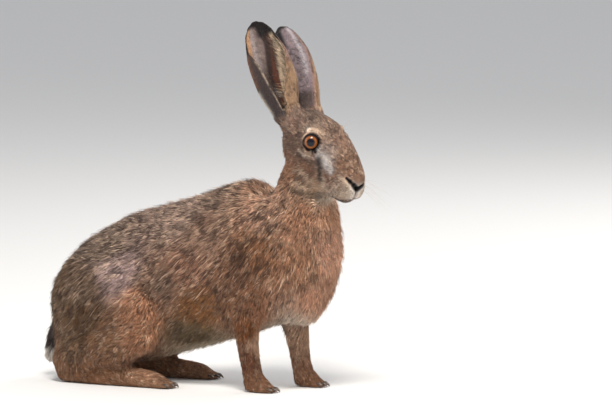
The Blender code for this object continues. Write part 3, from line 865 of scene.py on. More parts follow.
def make_skin(frame, origin):
    """The skin in the drawing's frame, and where its points lie at the top of the coat."""
    skin = joined_flesh(frame["nodes"], origin)
    with_modifier(skin, "REMESH", mode="VOXEL", voxel_size=SKIN_VOXEL)
    relax_and_thin(skin)
    for near in (near_toes, near_features, near_rims):
        refine(skin.data, near(mesh_points(skin.data)))
    with_modifier(skin, "TRIANGULATE")
    mesh = skin.data
    print("skin triangles", len(mesh.polygons))

    outer, normals = mesh_points(mesh), mesh_normals(mesh)
    points, free = sink_skin(outer, normals)
    points = relax(points, mesh_edges(mesh), 3, free)
    for side in (1, -1):
        for path, radius, deep in BODY_CREASES:
            points = press(points, normals, along_path(outer, path, side), radius, deep)
        for kind in TOES:
            for gap in toe_gaps(kind, side):
                points = press(points, normals, along_line(outer, *gap), 1.7, 2.6)
    points[:, 2] = np.maximum(points[:, 2], SKIN_HEIGHT)
    bent, facing, head = to_head(points), normals @ HEAD_AXES, to_head(outer)
    for side in (1, -1):
        for path, radius, deep in FACE_PRESSES:
            bent = press(bent, facing, along_path(head, path, side), radius, deep)
    bent = press(bent, facing, along_line(head, *PHILTRUM), 1.4, 1.8)
    set_points(mesh, from_head(open_lids(bent)))
    shade_smooth(mesh)
    return skin, outer


def unwrap(skin):
    """The skin's own unwrap, in the OFBake map that every tuft uses too."""
    skin.data.uv_layers.new(name="OFBake")
    bpy.context.view_layer.objects.active = skin
    skin.select_set(True)
    bpy.ops.object.mode_set(mode="EDIT")
    bpy.ops.mesh.select_all(action="SELECT")
    bpy.ops.uv.smart_project(angle_limit=math.radians(66), island_margin=0.002)
    bpy.ops.object.mode_set(mode="OBJECT")
    skin.select_set(False)


# Markings

def lattice_noise(points, size, seed):
    """Smooth noise from -1 to 1 with lumps of about that size."""
    grid = points / size
    cell = np.floor(grid).astype(np.int64)
    t = grid - cell
    t = t * t * (3 - 2 * t)
    total = np.zeros(len(points))
    for corner in range(8):
        step = np.array([(corner >> k) & 1 for k in range(3)])
        x, y, z = (cell + step).T
        mixed = (x * 73856093) ^ (y * 19349663) ^ (z * 83492791) ^ (seed * 2654435761)
        mixed = (mixed ^ (mixed >> 13)) * 1274126177 & 0x7FFFFFFF
        value = (mixed ^ (mixed >> 16)) % 65536 / 32768 - 1
        total += value * np.prod(np.where(step, t, 1 - t), axis=1)
    return total


def noise(points, name):
    return lattice_noise(points, *NOISES[name])


def one_colour(count, colour):
    return np.ones((count, 1)) * linear(colour)


def ear_layers(colour, layers):
    """The colour with the ear's tones mixed in, one after the other, each by its share."""
    for tone, share in layers:
        colour = mix(colour, EAR_TONES[tone], share)
    return colour


def ear_outside(t, angle, patches, streaks):
    """The back of the ear: grey with a pale stripe, brown fold, dark rear and black tip."""
    front, past_rear, root = fade(angle, 82, 92), fade(angle, -80, -50), 1 - fade(t, 0.24, 0.34)
    return ear_layers(one_colour(len(t), EAR_TONES["back"]), [
        ("stripe", 0.9 * band(angle, -44, 14) * between(t, 0.24, 0.75, 0.05)),
        ("front line", 0.75 * band(angle, 52, 9) * fade(t, 0.36, 0.5)),
        ("fold", 0.85 * fade(angle, 66, 80)),
        ("fold streaks", 0.7 * fade(angle, 62, 76) * fade(streaks, 0.15, 0.45)),
        ("front sand", 0.85 * front * (1 - fade(t, 0.52, 0.62))),
        ("front streaks", 0.5 * front * fade(-streaks, 0.1, 0.4)),
        ("rear", 0.94 * (1 - fade(angle, -88, -60))),
        ("rear red", 0.85 * band(angle, -92, 24) * between(t, 0.44, 0.76, 0.03)),
        ("rear cream", 0.95 * band(angle, -98, 17) * between(t, 0.16, 0.41, 0.03)),
        ("root", 0.9 * root * past_rear * (1 - fade(angle, 60, 90))),
        ("patches", 0.55 * fade(patches, 0.35, 0.6)),
        ("back tip", fade(t, 0.7, 0.78) * (1 - fade(angle, 2, 22))),
    ])


def ear_inside(t, angle, patches):
    """The hollow of the ear: bands of grey, painted shade, red brown and cream from the rear to the front.
    """
    shade_from, red_from, cream_from = interpolate(t, EAR_BANDS)
    return ear_layers(one_colour(len(t), EAR_TONES["hollow"]), [
        ("hollow root", 0.85 * (1 - fade(t, 0.5, 0.7))),
        ("hollow grey", 0.55 * band(angle, -44, 15) * fade(t, 0.5, 0.66)),
        ("hollow sand", 0.9 * fade(t, 0.6, 0.74) * (1 - fade(angle, -64, -46))),
        # painted shade: the dark band deep in the hollow
        ("hollow shade", 0.94 * fade(angle - shade_from, -6, 4)),
        ("hollow red", 0.7 * fade(angle - red_from, -4, 4)),
        ("hollow cream", 0.92 * fade(angle - cream_from, -4, 4)),
        ("hollow front", 0.85 * fade(angle, 96, 120)),
        ("hollow patches", 0.4 * fade(patches, 0.4, 0.65)),
        ("black", fade(t, 0.82, 0.88) * fade(angle, -30, 5)),
    ])


def ear_colours(t, angle, outside, points):
    """Colour and dark share on an ear, from its own coordinates."""
    inner = outside < 0
    _, _, rear_edge, front_edge = interpolate(t, EAR_LEAF)
    patches = noise(points, "ear patches")
    streaks = noise(np.stack([t * 9, angle / 7, 0 * t], 1), "ear streaks")
    colour = ear_outside(t, angle, patches, streaks)
    colour = np.where(inner[:, None], ear_inside(t, angle, patches), colour)
    rear = 1 - fade(rear_edge + angle, 1, 6)
    pale = rear * (1 - fade(t, 0.62, 0.72)) * (0.35 + 0.5 * patches)
    edge = 1 - fade(np.minimum(rear_edge + angle, front_edge - angle), 3, 10)
    colour = ear_layers(colour, [
        ("rear hair", np.clip(pale, 0, 0.8)),
        ("edge", edge * fade(t, 0.7, 0.8)),
        ("black", fade(t, 0.93, 0.97)),
    ])
    dark = np.where(inner, 0.05 + 0.2 * fade(angle, 20, 40), 0.16) * (1 - np.clip(pale, 0, 1))
    return colour * EAR_LIGHTNESS, dark


def head_marks(colour, dark, head, lids, side):
    """Adds one side's marks of the head, and the pale ring and the dark rim of its eye."""
    for path, radius, mark, strength in HEAD_MARKS:
        share = strength * bell(along_path(head, path, side), radius, 3)
        colour = mix(colour, mark, share)
        dark = dark * (1 - 0.5 * share)
    angle, distance, _ = round_eye(lids, side)
    ring = 0.65 * (1 - fade(distance, 15, 19)) * band(angle, LID_OPENING + 12, 6)
    colour = mix(colour, LID_RING, ring)
    rim = (1 - fade(distance, 12, 14)) * (1 - fade(angle, LID_OPENING, LID_OPENING + 4))
    return mix(colour, LID_RIM, rim), dark * (1 - np.maximum(ring, rim))


def muzzle_marks(colour, points, head):
    """Adds the mouth, the dots at the whiskers' roots, the cleft of the lip and the nostrils."""
    dots = 0.9 * fade(noise(points, "whisker dots"), 0.0, 0.3)
    for side in (1, -1):
        for line in MOUTH:
            colour = mix(colour, LIP_LINE, 0.8 * bell(along_path(head, line, side), 1.2))
        for line in WHISKER_ROWS:
            colour = mix(colour, WHISKER_ROOT, dots * bell(along_path(head, line, side), 1.3))
    colour = mix(colour, LIP_CLEFT, 0.95 * bell(along_line(head, *PHILTRUM), 2.0))
    for side in (1, -1):
        for *line, radius in NOSTRIL:
            # painted shade inside the nostrils
            colour = mix(colour, NOSTRIL_SHADE, bell(along_path(head, line, side), radius + 1.1, 6))
    return colour


def tail_marks(colour, dark, points, normals):
    """Adds the tail: black above, white below and at the tip."""
    tail = 1 - fade(np.hypot(points[:, 0] + 176, (points[:, 2] - 45) * 0.6), 16, 26)
    above = fade(-normals @ unit((1.0, 0, 0.45)), -0.3, 0.2)
    tip = fade(-points[:, 2], -34, -24)
    tones = mix(one_colour(len(points), TAIL_WHITE), TAIL_BLACK, above)
    tones = mix(tones, TAIL_WHITE, tip)
    return blend(colour, tones, tail), dark * (1 - tail)


def markings(points, normals, lids=None):
    """Ground colour and share of dark tufts at points of the coat. Skin and coat both use it.

    lids: where the points lie once the lids are open, in the head's frame, if that is elsewhere.
    """
    table = coat_table(GROUND, FORELEG_GROUND, HEAD_GROUND, ground_values)
    values = blend_places(points, *table, sharpness=5, soft=6.0)
    colour, dark = values[:, :3], values[:, 3]
    head = to_head(points)
    lids = head if lids is None else lids
    for side in (1, -1):
        for path, radius, _ in BODY_CREASES:
            # painted shade: the colour darkened along the body's creases
            colour = colour * (1 - 0.35 * bell(along_path(points, path, side), radius))[:, None]
        colour, dark = head_marks(colour, dark, head, lids, side)
    colour = muzzle_marks(colour, points, head)
    for side in (1, -1):
        t, angle, outside = ear_coordinates(head, side)
        share = ear_share(t, outside)
        ear, ear_dark = ear_colours(t, angle, outside, points)
        colour, dark = blend(colour, ear, share), blend(dark, ear_dark, share)
        # painted shade in the slit at each ear's root
        colour = mix(colour, EAR_SLIT_SHADE, 0.9 * bell(along_path(head, EAR_SLIT, side), 2.3))
    colour, dark = tail_marks(colour, dark, points, normals)
    tone = 1 + 0.10 * noise(points, "broad tone") + 0.10 * noise(points, "fine tone")
    dark = np.clip(dark * (1 + 0.6 * noise(points, "dark tips")), 0, 0.9)
    return np.clip(colour * tone[:, None], DARKEST, 1), dark


# Tufts

def scatter(rng, ground, density, count):
    """Random places on the skin: triangle and weights of its corners. density is one value a triangle."""
    triangles = ground["triangles"]
    a, b, c = (ground["points"][triangles[:, k]] for k in range(3))
    area = np.linalg.norm(np.cross(b - a, c - a), axis=1) / 2 * density
    chosen = np.searchsorted(np.cumsum(area), rng.random(count) * area.sum())
    chosen = np.minimum(chosen, len(triangles) - 1)
    u, v = rng.random(count), rng.random(count)
    flip = u + v > 1
    u, v = np.where(flip, 1 - u, u), np.where(flip, 1 - v, v)
    return chosen, np.stack([1 - u - v, u, v], 1)


def at_corners(corners, weights):
    """Values of the corners mixed at scattered places."""
    weights = weights[:, :, None] if corners.ndim == 3 else weights
    return (corners * weights).sum(1)


def march(ground, start, flow, step):
    """Steps along the skin in the direction of the coat: new surface points, normals and directions."""
    guess = start + flow * step[:, None]
    points, normals = np.empty_like(start), np.empty_like(start)
    found = np.empty(len(start), np.int64)
    for k, place in enumerate(guess.tolist()):
        points[k], normals[k], found[k], _ = ground["tree"].find_nearest(place)
    turned = ground["flow"][ground["triangles"][found]].mean(1)
    return points, normals, along_skin(unit(0.5 * turned + 0.5 * flow), normals)


def tuft_faces(rings):
    """Faces of one closed three-sided tuft: its foot, its sides and the tip."""
    around = ((0, 1), (1, 2), (2, 0))
    faces = [(0, 2, 1)]
    for low in range(0, 3 * rings - 3, 3):
        faces += [(low + i, low + j, low + 3 + j, low + 3 + i) for i, j in around]
    top = 3 * (rings - 1)
    return faces + [(top + i, top + j, top + 3) for i, j in around]


def tuft_mesh(name, centres, sides, ups, widths, colours, uv):
    """Tufts in one mesh: a ring of three points at all stations but the last, which is the tip."""
    count, rings = centres.shape[0], centres.shape[1] - 1
    size = rings * 3 + 1
    points = np.empty((count, size, 3))
    patch = np.empty((count, size, 2))
    shade = np.empty((count, size, 3))
    for k in range(rings):
        half = widths[:, k, None] / 2
        points[:, 3 * k] = centres[:, k] + sides[:, k] * half
        points[:, 3 * k + 1] = centres[:, k] - sides[:, k] * half
        points[:, 3 * k + 2] = centres[:, k] + ups[:, k] * half * TUFT_RISE
        for j, across in enumerate((TUFT_PATCH / 2, -TUFT_PATCH / 2, 0.0)):
            patch[:, 3 * k + j] = uv + (across, (k / rings - 0.5) * TUFT_PATCH)
            shade[:, 3 * k + j] = colours[:, k]
    points[:, -1] = centres[:, -1]
    patch[:, -1] = uv + (0.0, TUFT_PATCH / 2)
    shade[:, -1] = colours[:, -1]
    faces = tuft_faces(rings)
    corners = np.concatenate(faces)
    starts = np.cumsum([0] + [len(f) for f in faces[:-1]])
    base = np.arange(count)[:, None]
    loops = (base * size + corners).ravel()
    starts = (base * len(corners) + starts).ravel()
    mesh = bpy.data.meshes.new(name)
    mesh.vertices.add(count * size)
    mesh.loops.add(len(loops))
    mesh.polygons.add(len(starts))
    mesh.vertices.foreach_set("co", points.astype(np.float32).ravel())
    mesh.loops.foreach_set("vertex_index", loops.astype(np.int32))
    mesh.polygons.foreach_set("loop_start", starts.astype(np.int32))
    shade_smooth(mesh)
    layer = mesh.uv_layers.new(name="OFBake")
    layer.uv.foreach_set("vector", patch.reshape(-1, 2)[loops].astype(np.float32).ravel())
    paint(mesh, shade.reshape(-1, 3))
    mesh.update()
    return mesh


def quantile(share):
    """Where a bell curve of width 1 has that share below it."""
    share = np.clip(share, 0.002, 0.998)
    return np.log(share / (1 - share)) / 1.702


def tuft_colours(rng, root, colour, dark, stations, clump, patches):
    """Colours along each tuft: grey underfur darkened with painted shade deep in the coat, a ground band,
    and a dark or a pale end.
    """
    count = len(colour)
    size, patch_share, clump_share = patches
    spots = []
    for seed in PATCH_SEEDS:
        spots.append(patch_share * lattice_noise(root, size, seed) + rng.normal(0, 0.3, count))
    is_dark = (clump_share * clump["dark"] + spots[0] < quantile(dark))[:, None]
    is_pale = (clump_share * clump["pale"] + spots[1] > -quantile(0.14 + 0.6 * dark))[:, None]
    tone = np.exp(0.13 * clump["tone"] + rng.normal(0, 0.16, count))[:, None]
    colour = colour * np.clip(tone, 0.5, 1.7)
    # painted shade at the roots: the ground colour darkened, with a little grey underfur
    under = colour * 0.35 + linear(UNDERFUR) * 0.2
    light = np.clip(colour.mean(1) / LIGHT_GROUND, 0, 1)[:, None]
    lit = np.where(is_pale, 0.35 * colour + 0.65 * linear(TICK_LIGHT) * tone * light, colour)
    ends = np.where(is_dark, 0.2 * colour + 0.8 * linear(TICK_DARK), lit)
    middle = np.where(is_dark, 0.25 * colour + 0.75 * ends, 0.6 * colour + 0.35 * ends)
    low = 0.4 * colour + 0.45 * ends + 0.15 * under
    bands = {2: [low, ends], 3: [under, middle, ends], 4: [under, middle, ends, ends]}
    return np.clip(np.stack(bands[stations], 1), DARKEST, 1)


def make_clumps(rng, root, each):
    """Groups the tufts round randomly chosen leaders: leader of each tuft, and traits shared in a clump."""
    leaders = rng.choice(len(root), max(len(root) // each, 1), replace=False)
    tree = KDTree(len(leaders))
    for k, place in enumerate(root[leaders].tolist()):
        tree.insert(place, k)
    tree.balance()
    member = np.array([tree.find(place)[1] for place in root.tolist()])
    traits = ("dark", "pale", "tone", "turn", "long")
    clump = {trait: rng.normal(0, 1, len(leaders))[member] for trait in traits}
    clump["lift"] = rng.random(len(leaders))[member]
    clump["leader"] = leaders[member]
    return clump


def grow(ground, root, up, ahead, long, deep, stations):
    """Lays each tuft along the skin: its centres, sideways and upward directions at all stations."""
    steps = stations - 1
    centres = np.empty((len(root), stations, 3))
    sides, ups = np.empty_like(centres), np.empty_like(centres)
    centres[:, 0] = root - up * TUFT_ROOT
    sides[:, 0], ups[:, 0] = unit(np.cross(ahead, up)), up
    place, heading = root, ahead
    for k in range(1, stations):
        place, normal, heading = march(ground, place, heading, long / steps)
        normal = unit(normal + 0.6 * ups[:, k - 1])
        t = k / steps
        centres[:, k] = place + normal * (deep * (1.5 * t - 0.5 * t * t))[:, None]
        sides[:, k], ups[:, k] = unit(np.cross(heading, normal)), normal
    return centres, sides, ups


def pull_together(centres, leader, long, share):
    """Bends each tuft towards the tip of its clump's leader, most at its own tip."""
    towards = centres[leader, -1] - centres[:, -1]
    apart = np.linalg.norm(towards, axis=1)
    towards = towards * (np.minimum(apart, 0.45 * long) / np.maximum(apart, 1e-6))[:, None]
    steps = centres.shape[1] - 1
    for k in range(1, steps + 1):
        centres[:, k] += towards * share * (k / steps) ** 1.5
    centres[:, :, 2] = np.maximum(centres[:, :, 2], TUFT_HEIGHT)


def coat(rng, style, ground, density):
    """One layer of tufts over the skin, as arrays ready for tuft_mesh."""
    count, stations = style["tufts"], style["stations"]
    chosen, weights = scatter(rng, ground, density, count)

    def here(key):
        return at_corners(ground[key][ground["triangles"][chosen]], weights)

    root, up, ahead = here("points"), unit(here("normals")), unit(here("flow"))
    clump = make_clumps(rng, root, style["clump"])
    long = here("length") * style["length"] * rng.uniform(0.75, 1.2, count)
    long = long * np.clip(1 + 0.14 * clump["long"], 0.7, 1.35)
    deep = here("depth") * style["height"] * rng.uniform(0.75, 1.0, count)
    deep = deep * (0.6 + 0.4 * clump["lift"])
    wide = here("width") * style["width"] * rng.uniform(0.7, 1.25, count)
    turn = style["rough"] * rng.normal(0, 1, count) + 0.16 * clump["turn"] + 0.2 * noise(root, "turn")
    ahead = unit(ahead + np.cross(ahead, up) * turn[:, None])
    centres, sides, ups = grow(ground, root, up, ahead, long, deep, stations)
    share = style["pull"] * rng.uniform(0.5, 1.0, count)[:, None]
    pull_together(centres, clump["leader"], long, share)
    widths = wide[:, None] * np.array(TUFT_WIDTHS[stations])
    start, tip = centres[:, 0], centres[:, -1]
    colour, dark = markings(start * 0.4 + tip * 0.6, up)
    shades = tuft_colours(rng, root, colour, dark, stations, clump, PATCHES[style["kind"]])
    corner = at_corners(ground["uv"][chosen], weights)
    clear = clear_of_openings(to_head(tip)) & clear_of_openings(to_head((start + tip) / 2))
    return [values[clear] for values in (centres, sides, ups, widths, shades, corner)]


def clear_of_openings(head_points):
    """False over the eyes' openings and the nostrils, which no tuft may cover."""
    clear = along_line(head_points, *PHILTRUM) > 1.7
    for side in (1, -1):
        angle, distance, _ = round_eye(head_points, side)
        clear &= (distance > 14) | (angle > LID_OPENING + 6)
        for *line, radius in NOSTRIL:
            clear &= along_path(head_points, line, side) > radius + 1.3
    return clear


# Materials

def set_inputs(tree, node, inputs):
    """Sets a node's inputs to values, or links them to other nodes' outputs."""
    for key, value in inputs.items():
        if isinstance(value, bpy.types.NodeSocket):
            tree.links.new(value, node.inputs[key])
        else:
            node.inputs[key].default_value = value


def add_node(tree, kind, output, inputs, **settings):
    """One output of a new node with its settings and inputs."""
    node = tree.nodes.new("ShaderNode" + kind)
    for key, value in settings.items():
        setattr(node, key, value)
    set_inputs(tree, node, inputs)
    return node.outputs[output]


def add_noise(tree, place, scale, detail):
    return add_node(tree, "TexNoise", "Fac", {"Vector": place, "Scale": scale, "Detail": detail})


def add_ramp(tree, value, stops):
    """Colours, given as seen, between the stops of a value."""
    node = tree.nodes.new("ShaderNodeValToRGB")
    elements = node.color_ramp.elements
    elements.remove(elements[1])
    for k, (stop, colour) in enumerate(stops):
        element = elements[0] if k == 0 else elements.new(stop)
        element.position = stop
        element.color = (*linear(colour), 1)
    tree.links.new(value, node.inputs["Fac"])
    return node.outputs["Color"]


def uneven(tree, colour, grain, darkest, lightest):
    """The colour made darker and lighter by a noise."""
    limits = {"From Min": 0.3, "From Max": 0.7, "To Min": darkest, "To Max": lightest}
    tone = add_node(tree, "MapRange", "Result", {"Value": grain, **limits})
    return add_node(tree, "VectorMath", "Vector", {0: colour, "Scale": tone}, operation="SCALE")


def add_bump(tree, grain, strength, distance):
    return add_node(tree, "Bump", "Normal", {"Height": grain, "Strength": strength, "Distance": distance})


def new_material(name, inputs):
    """A material with its shader's inputs set: material, node tree, shader and place on the object."""
    material = bpy.data.materials.new(name)
    material.use_nodes = True
    tree = material.node_tree
    shader = tree.nodes["Principled BSDF"]
    set_inputs(tree, shader, inputs)
    return material, tree, shader, add_node(tree, "TexCoord", "Object", {})


def coat_material(name, grain_size, bump_height, roughness, sheen):
    """Hair: the marking colour of the mesh with fine uneven tone, soft sheen and a fine bump."""
    look = {"Roughness": roughness, "Specular IOR Level": 0.18}
    look.update({"Sheen Weight": sheen, "Sheen Roughness": 0.5})
    material, tree, shader, place = new_material(name, look)
    grain = add_noise(tree, place, 1 / grain_size, 3)
    colour = add_node(tree, "Attribute", "Color", {}, attribute_name="coat")
    colour = uneven(tree, colour, grain, 0.82, 1.15)
    set_inputs(tree, shader, {"Base Color": colour, "Normal": add_bump(tree, grain, 0.5, bump_height)})
    return material


def plain_material(name, low, high, scale, roughness, bump):
    """A surface between two tones, with uneven noise and bump."""
    material, tree, shader, place = new_material(name, {"Roughness": roughness})
    grain = add_noise(tree, place, scale, 5)
    colour = add_ramp(tree, grain, [(0.35, low), (0.65, high)])
    set_inputs(tree, shader, {"Base Color": colour, "Normal": add_bump(tree, grain, 0.4, bump)})
    return material


IRIS = [  # share of the eye's radius, and colour
    (0.0, (5, 9, 22)),
    (0.37, (6, 11, 26)),
    (0.41, (56, 29, 15)),
    (0.48, (112, 62, 26)),
    (0.59, (152, 90, 40)),
    (0.68, (124, 66, 28)),
    (0.735, (50, 26, 16)),
    (0.78, (12, 9, 9)),
]


def eye_material():
    """Amber iris with spokes, dark pupil and dark edge, under a clear wet coat."""
    look = {"Roughness": 0.5, "Specular IOR Level": 0.0}
    look.update({"Coat Weight": 1.0, "Coat IOR": 1.38, "Coat Roughness": 0.05})
    material, tree, shader, place = new_material("hare_eye", look)
    split = tree.nodes.new("ShaderNodeSeparateXYZ")
    tree.links.new(place, split.inputs["Vector"])

    def maths(operation, *values):
        return add_node(tree, "Math", 0, dict(enumerate(values)), operation=operation)

    x, y = split.outputs["X"], split.outputs["Y"]
    radius = maths("SQRT", maths("ADD", maths("MULTIPLY", x, x), maths("MULTIPLY", y, y)))
    share = maths("DIVIDE", radius, EYE_RADIUS * MM)
    angle = maths("ARCTAN2", y, x)
    sine, cosine = maths("SINE", angle), maths("COSINE", angle)
    spokes = {"X": maths("MULTIPLY", sine, 6.0), "Y": maths("MULTIPLY", cosine, 6.0)}
    spokes["Z"] = maths("MULTIPLY", share, 2.0)
    grain = add_noise(tree, add_node(tree, "CombineXYZ", "Vector", spokes), 2.4, 4)
    wavering = maths("ADD", share, maths("MULTIPLY", maths("SUBTRACT", grain, 0.5), 0.06))
    colour = uneven(tree, add_ramp(tree, wavering, IRIS), grain, 0.6, 1.25)
    set_inputs(tree, shader, {"Base Color": colour})
    return material


# Eyes, claws, whiskers

def make_eye(word, side, origin, material):
    centre, look = eye_axis(side)
    bm = bmesh.new()
    bmesh.ops.create_uvsphere(bm, u_segments=72, v_segments=48, radius=EYE_RADIUS * MM)
    mesh = finished(bm, f"eyeball_{word}")
    shade_smooth(mesh)
    mesh.materials.append(material)
    eye = new_object(f"eyeball_{word}", mesh)
    turn = Vector(look @ HEAD_AXES.T).to_track_quat("Z", "Y").to_matrix().to_4x4()
    eye.matrix_world = Matrix.Translation(to_row(from_head(centre), origin)) @ turn
    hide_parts(f"eye_{word}")
    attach(eye, "root")


def rods(name, paths, around, material, origin):
    """An object of tapered rods: each path is a list of (place, radius), in the drawing's frame."""
    bm = bmesh.new()
    turns = [2 * math.pi * j / around for j in range(around)]
    for path in paths:
        places = [np.array(place, float) for place, _ in path]
        rings = []
        for k, (_, radius) in enumerate(path):
            ahead = unit(places[min(k + 1, len(path) - 1)] - places[max(k - 1, 0)])
            side = unit(np.cross(ahead, (0.0, 0.1, 1.0)))
            over = np.cross(side, ahead)
            ring = [places[k] + (side * math.cos(a) + over * math.sin(a)) * radius for a in turns]
            rings.append([bm.verts.new(point) for point in ring])
        for low, high in zip(rings, rings[1:]):
            for j in range(around):
                n = (j + 1) % around
                bm.faces.new((low[j], low[n], high[n], high[j]))
        bm.faces.new(rings[0][::-1])
        bm.faces.new(rings[-1])
    bmesh.ops.recalc_face_normals(bm, faces=bm.faces)
    mesh = finished(bm, name)
    shade_smooth(mesh)
    place_mesh(mesh, origin)
    mesh.materials.append(material)
    return new_object(name, mesh)


def make_claws(origin):
    """Short dark claws that look out of the fur at the toes."""
    horn = plain_material("claw_horn", (58, 46, 40), (104, 86, 74), 900, 0.35, 0.0001)
    for kind in TOES:
        for word, side in SIDES.items():
            tips = [tip for _, tip in toe_tips(kind, side)]
            paths = [[((x + ahead, y, z), radius) for ahead, z, radius in CLAW] for x, y, _ in tips]
            piece = rods(f"claws_{kind}_{word}", paths, 8, horn, origin)
            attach(piece, "root")


def lip_whisker(rng, k):
    """Root, direction and length of a whisker on the lip, for the right side of the head."""
    line = k % len(WHISKER_ROWS)
    start, end = WHISKER_ROWS[line]
    place = (k // len(WHISKER_ROWS) + rng.uniform(0.1, 0.9)) / 4
    root = np.array(start) * (1 - place) + np.array(end) * place
    forward = 0.2 + 0.3 * place + 0.1 * rng.normal()
    upward = -0.15 - 0.12 * line + 0.08 * rng.normal()
    return root, unit((forward, -0.8, upward)), rng.uniform(30, 40)


def brow_whisker(rng, k):
    """The same over the eye."""
    root = np.array((-9.0 + 5 * k, -24.0, 14.0))
    return root, unit((0.1 * (k - 1), -0.75, 0.6)), rng.uniform(18, 26)


def whisker_path(whisker, side, tree):
    """Places and radii along a whisker that starts on the skin and droops towards its end."""
    root, aim, reach = whisker
    root, aim = root * (1, -side, 1), aim * (1, -side, 1)
    place, normal, _, _ = tree.find_nearest(from_head(root).tolist())
    start, aim = np.array(place) - np.array(normal) * TUFT_ROOT, aim @ HEAD_AXES.T
    path = []
    for step in np.linspace(0, 1, 9):
        droop = np.array((0, 0, -0.16 * reach * step * step))
        path.append((start + aim * reach * step + droop, 0.075 * (1 - step) + 0.035))
    return path


def make_whiskers(rng, tree, origin):
    """Fine whiskers on the lip and over the eye."""
    hair = plain_material("whisker_hair", (168, 154, 140), (206, 196, 184), 400, 0.4, 0.00005)
    for word, side in SIDES.items():
        whiskers = [lip_whisker(rng, k) for k in range(11)] + [brow_whisker(rng, k) for k in range(3)]
        paths = [whisker_path(whisker, side, tree) for whisker in whiskers]
        piece = rods(f"whiskers_{word}", paths, 5, hair, origin)
        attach(piece, "root")


def make_coat(ground, outer, origin):
    """All layers of the coat, each in pieces from the tail to the nose."""
    hair = coat_material("hare_coat", 0.004, 0.0002, 0.75, 0.06)
    rng = np.random.default_rng(SEED)
    head = to_head(outer)
    ears = on_ears(head)
    long = fade(ground["length"], 8.5, 11) * (1 - ears)
    short = (1 - long - ears) / np.maximum(ground["width"], 0.6) ** 2
    cover = {"long": long, "short": short, "ear": ears}
    hairy = clear_of_openings(head) & clear_of_openings(to_head(ground["points"]))
    for row in LAYERS:
        style = dict(zip(LAYER_WORDS, row))
        kind = style["kind"]
        density = np.clip(cover[kind] * hairy, 0, None)[ground["triangles"]].mean(1)
        layer = coat(rng, style, ground, density)
        roots = layer[0][:, 0]
        tuft_triangles = 6 * (style["stations"] - 2) + 4
        regions = 1 + int(len(roots) * tuft_triangles / PIECE_TRIANGLES)
        order = np.argsort(roots[:, 0] + 0.001 * roots[:, 2])
        for k, chosen in enumerate(np.array_split(order, regions)):
            mesh = tuft_mesh(f"coat_{style['name']}_{k + 1}", *(values[chosen] for values in layer))
            place_mesh(mesh, origin)
            mesh.materials.append(hair)
            piece = new_object(mesh.name, mesh)
            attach(piece, "root")


def main():
    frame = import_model()
    boxes = [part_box(name) for name in ("eye_left", "eye_right")]
    middle = sum(((low + high) / 2 for low, high in boxes), Vector()) / 2
    origin = middle - Vector(from_head(EYE_PLACE * (1, 0, 1))) * MM

    skin, outer = make_skin(frame, origin)
    unwrap(skin)
    mesh = skin.data
    points, normals = mesh_points(mesh), mesh_normals(mesh)
    triangles = read(mesh.loops, "vertex_index", 1, np.int32).reshape(-1, 3)
    uv = read(mesh.uv_layers["OFBake"].uv, "vector", 2).reshape(-1, 3, 2).astype(float)
    tree = BVHTree.FromPolygons(points.tolist(), triangles.tolist())
    flow, length, depth, width = coat_fields(outer, normals)
    ground = dict(points=points, normals=normals, triangles=triangles, uv=uv, tree=tree)
    ground.update(flow=flow, length=length, depth=depth, width=width)

    colour, dark = markings(outer, normals, to_head(points))
    # partly the dark underfur, partly painted shade: the skin is darker where the coat over it is longer
    under = colour * (0.45 + 0.45 * (1 - fade(length, 5, 12)))[:, None]
    under = under * (1 - 0.35 * dark)[:, None]
    paint(mesh, np.clip(under, DARKEST, 1))
    mesh.materials.append(coat_material("hare_skin", 0.0012, 0.0004, 0.8, 0.05))
    place_mesh(mesh, origin)
    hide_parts(*FLESH, "ear_left", "ear_right")
    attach(skin, "root")

    make_coat(ground, outer, origin)
    make_claws(origin)
    make_whiskers(np.random.default_rng(SEED + 1), tree, origin)
    eye = eye_material()
    for word, side in SIDES.items():
        make_eye(word, side, origin, eye)
    make_stage(origin)


# Camera and light

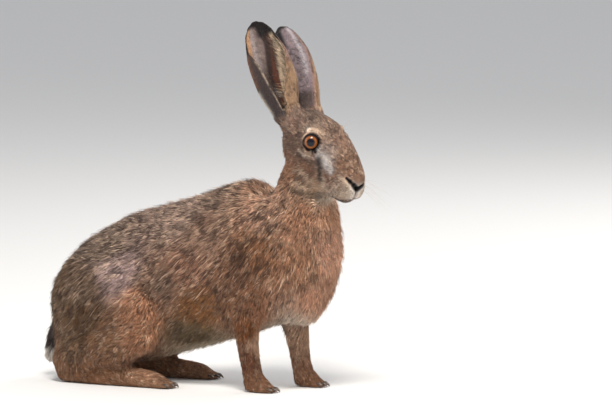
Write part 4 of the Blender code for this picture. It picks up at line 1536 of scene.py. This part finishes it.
VIEW_TURN = 28  # degrees from a pure side view towards the front
VIEW_DOWN = 5
VIEW_DISTANCE = 7.0
SENSOR = 36
MM_PER_PIXEL = 1.08
FRAME_SIZE = (612, 408)
ORIGIN_PIXEL = (197, 384)  # where the drawing's origin lies in the photo
FLOOR_REACH = 15
LIGHT_TARGET = (0, 0, 0.2)
LIGHTS = {  # place, size, power, colour
    "key": ((0.9, -1.5, 2.6), 1.0, 92, (1, 0.96, 0.90)),
    "fill": ((-2.2, -1.8, 1.2), 2.0, 16, (1, 0.98, 0.95)),
    "back": ((0.6, 2.4, 1.8), 1.6, 36, (1, 0.97, 0.93)),
}
SKY_COLOUR = (0.94, 0.96, 1.0, 1)
SKY_STRENGTH = 0.58
PAPER = (0.80, 0.79, 0.775, 1)


def area_light(name, place, size, power, colour):
    light = bpy.data.lights.new(name, "AREA")
    light.shape = "DISK"
    light.size = size
    light.energy = power
    light.color = colour
    obj = new_object(name, light)
    obj.location = place
    obj.rotation_euler = (Vector(LIGHT_TARGET) - Vector(place)).to_track_quat("-Z", "Y").to_euler()


def make_camera(origin):
    """The camera of the photo, with the drawing's origin at its own pixel."""
    turn, down = math.radians(VIEW_TURN), math.radians(VIEW_DOWN)
    right = Vector((math.cos(turn), math.sin(turn), 0))
    ahead = Vector((-math.sin(turn) * math.cos(down), math.cos(turn) * math.cos(down), -math.sin(down)))
    up = right.cross(ahead)
    scale = MM_PER_PIXEL * MM
    target = origin + right * (FRAME_SIZE[0] / 2 - ORIGIN_PIXEL[0]) * scale
    target += up * (ORIGIN_PIXEL[1] - FRAME_SIZE[1] / 2) * scale
    camera = bpy.data.cameras.new("camera")
    camera.sensor_width = SENSOR
    camera.lens = SENSOR * VIEW_DISTANCE / (FRAME_SIZE[0] * scale)
    camera.clip_end = 100
    view = new_object("camera", camera)
    view.location = target - ahead * VIEW_DISTANCE
    view.rotation_euler = ahead.to_track_quat("-Z", "Y").to_euler()
    bpy.context.scene.camera = view


def make_stage(origin):
    make_camera(origin)
    bm = bmesh.new()
    bmesh.ops.create_grid(bm, x_segments=1, y_segments=1, size=FLOOR_REACH)
    mesh = finished(bm, "floor")
    paper = bpy.data.materials.new("floor")
    paper.use_nodes = True
    shader = paper.node_tree.nodes["Principled BSDF"]
    set_inputs(paper.node_tree, shader, {"Base Color": PAPER, "Roughness": 0.9})
    mesh.materials.append(paper)
    new_object("floor", mesh)

    scene = bpy.context.scene
    scene.world = bpy.data.worlds.new("studio")
    scene.world.use_nodes = True
    tree = scene.world.node_tree
    set_inputs(tree, tree.nodes["Background"], {"Color": SKY_COLOUR, "Strength": SKY_STRENGTH})
    for name, settings in LIGHTS.items():
        area_light(name, *settings)
    scene.view_settings.view_transform = "Standard"


main()
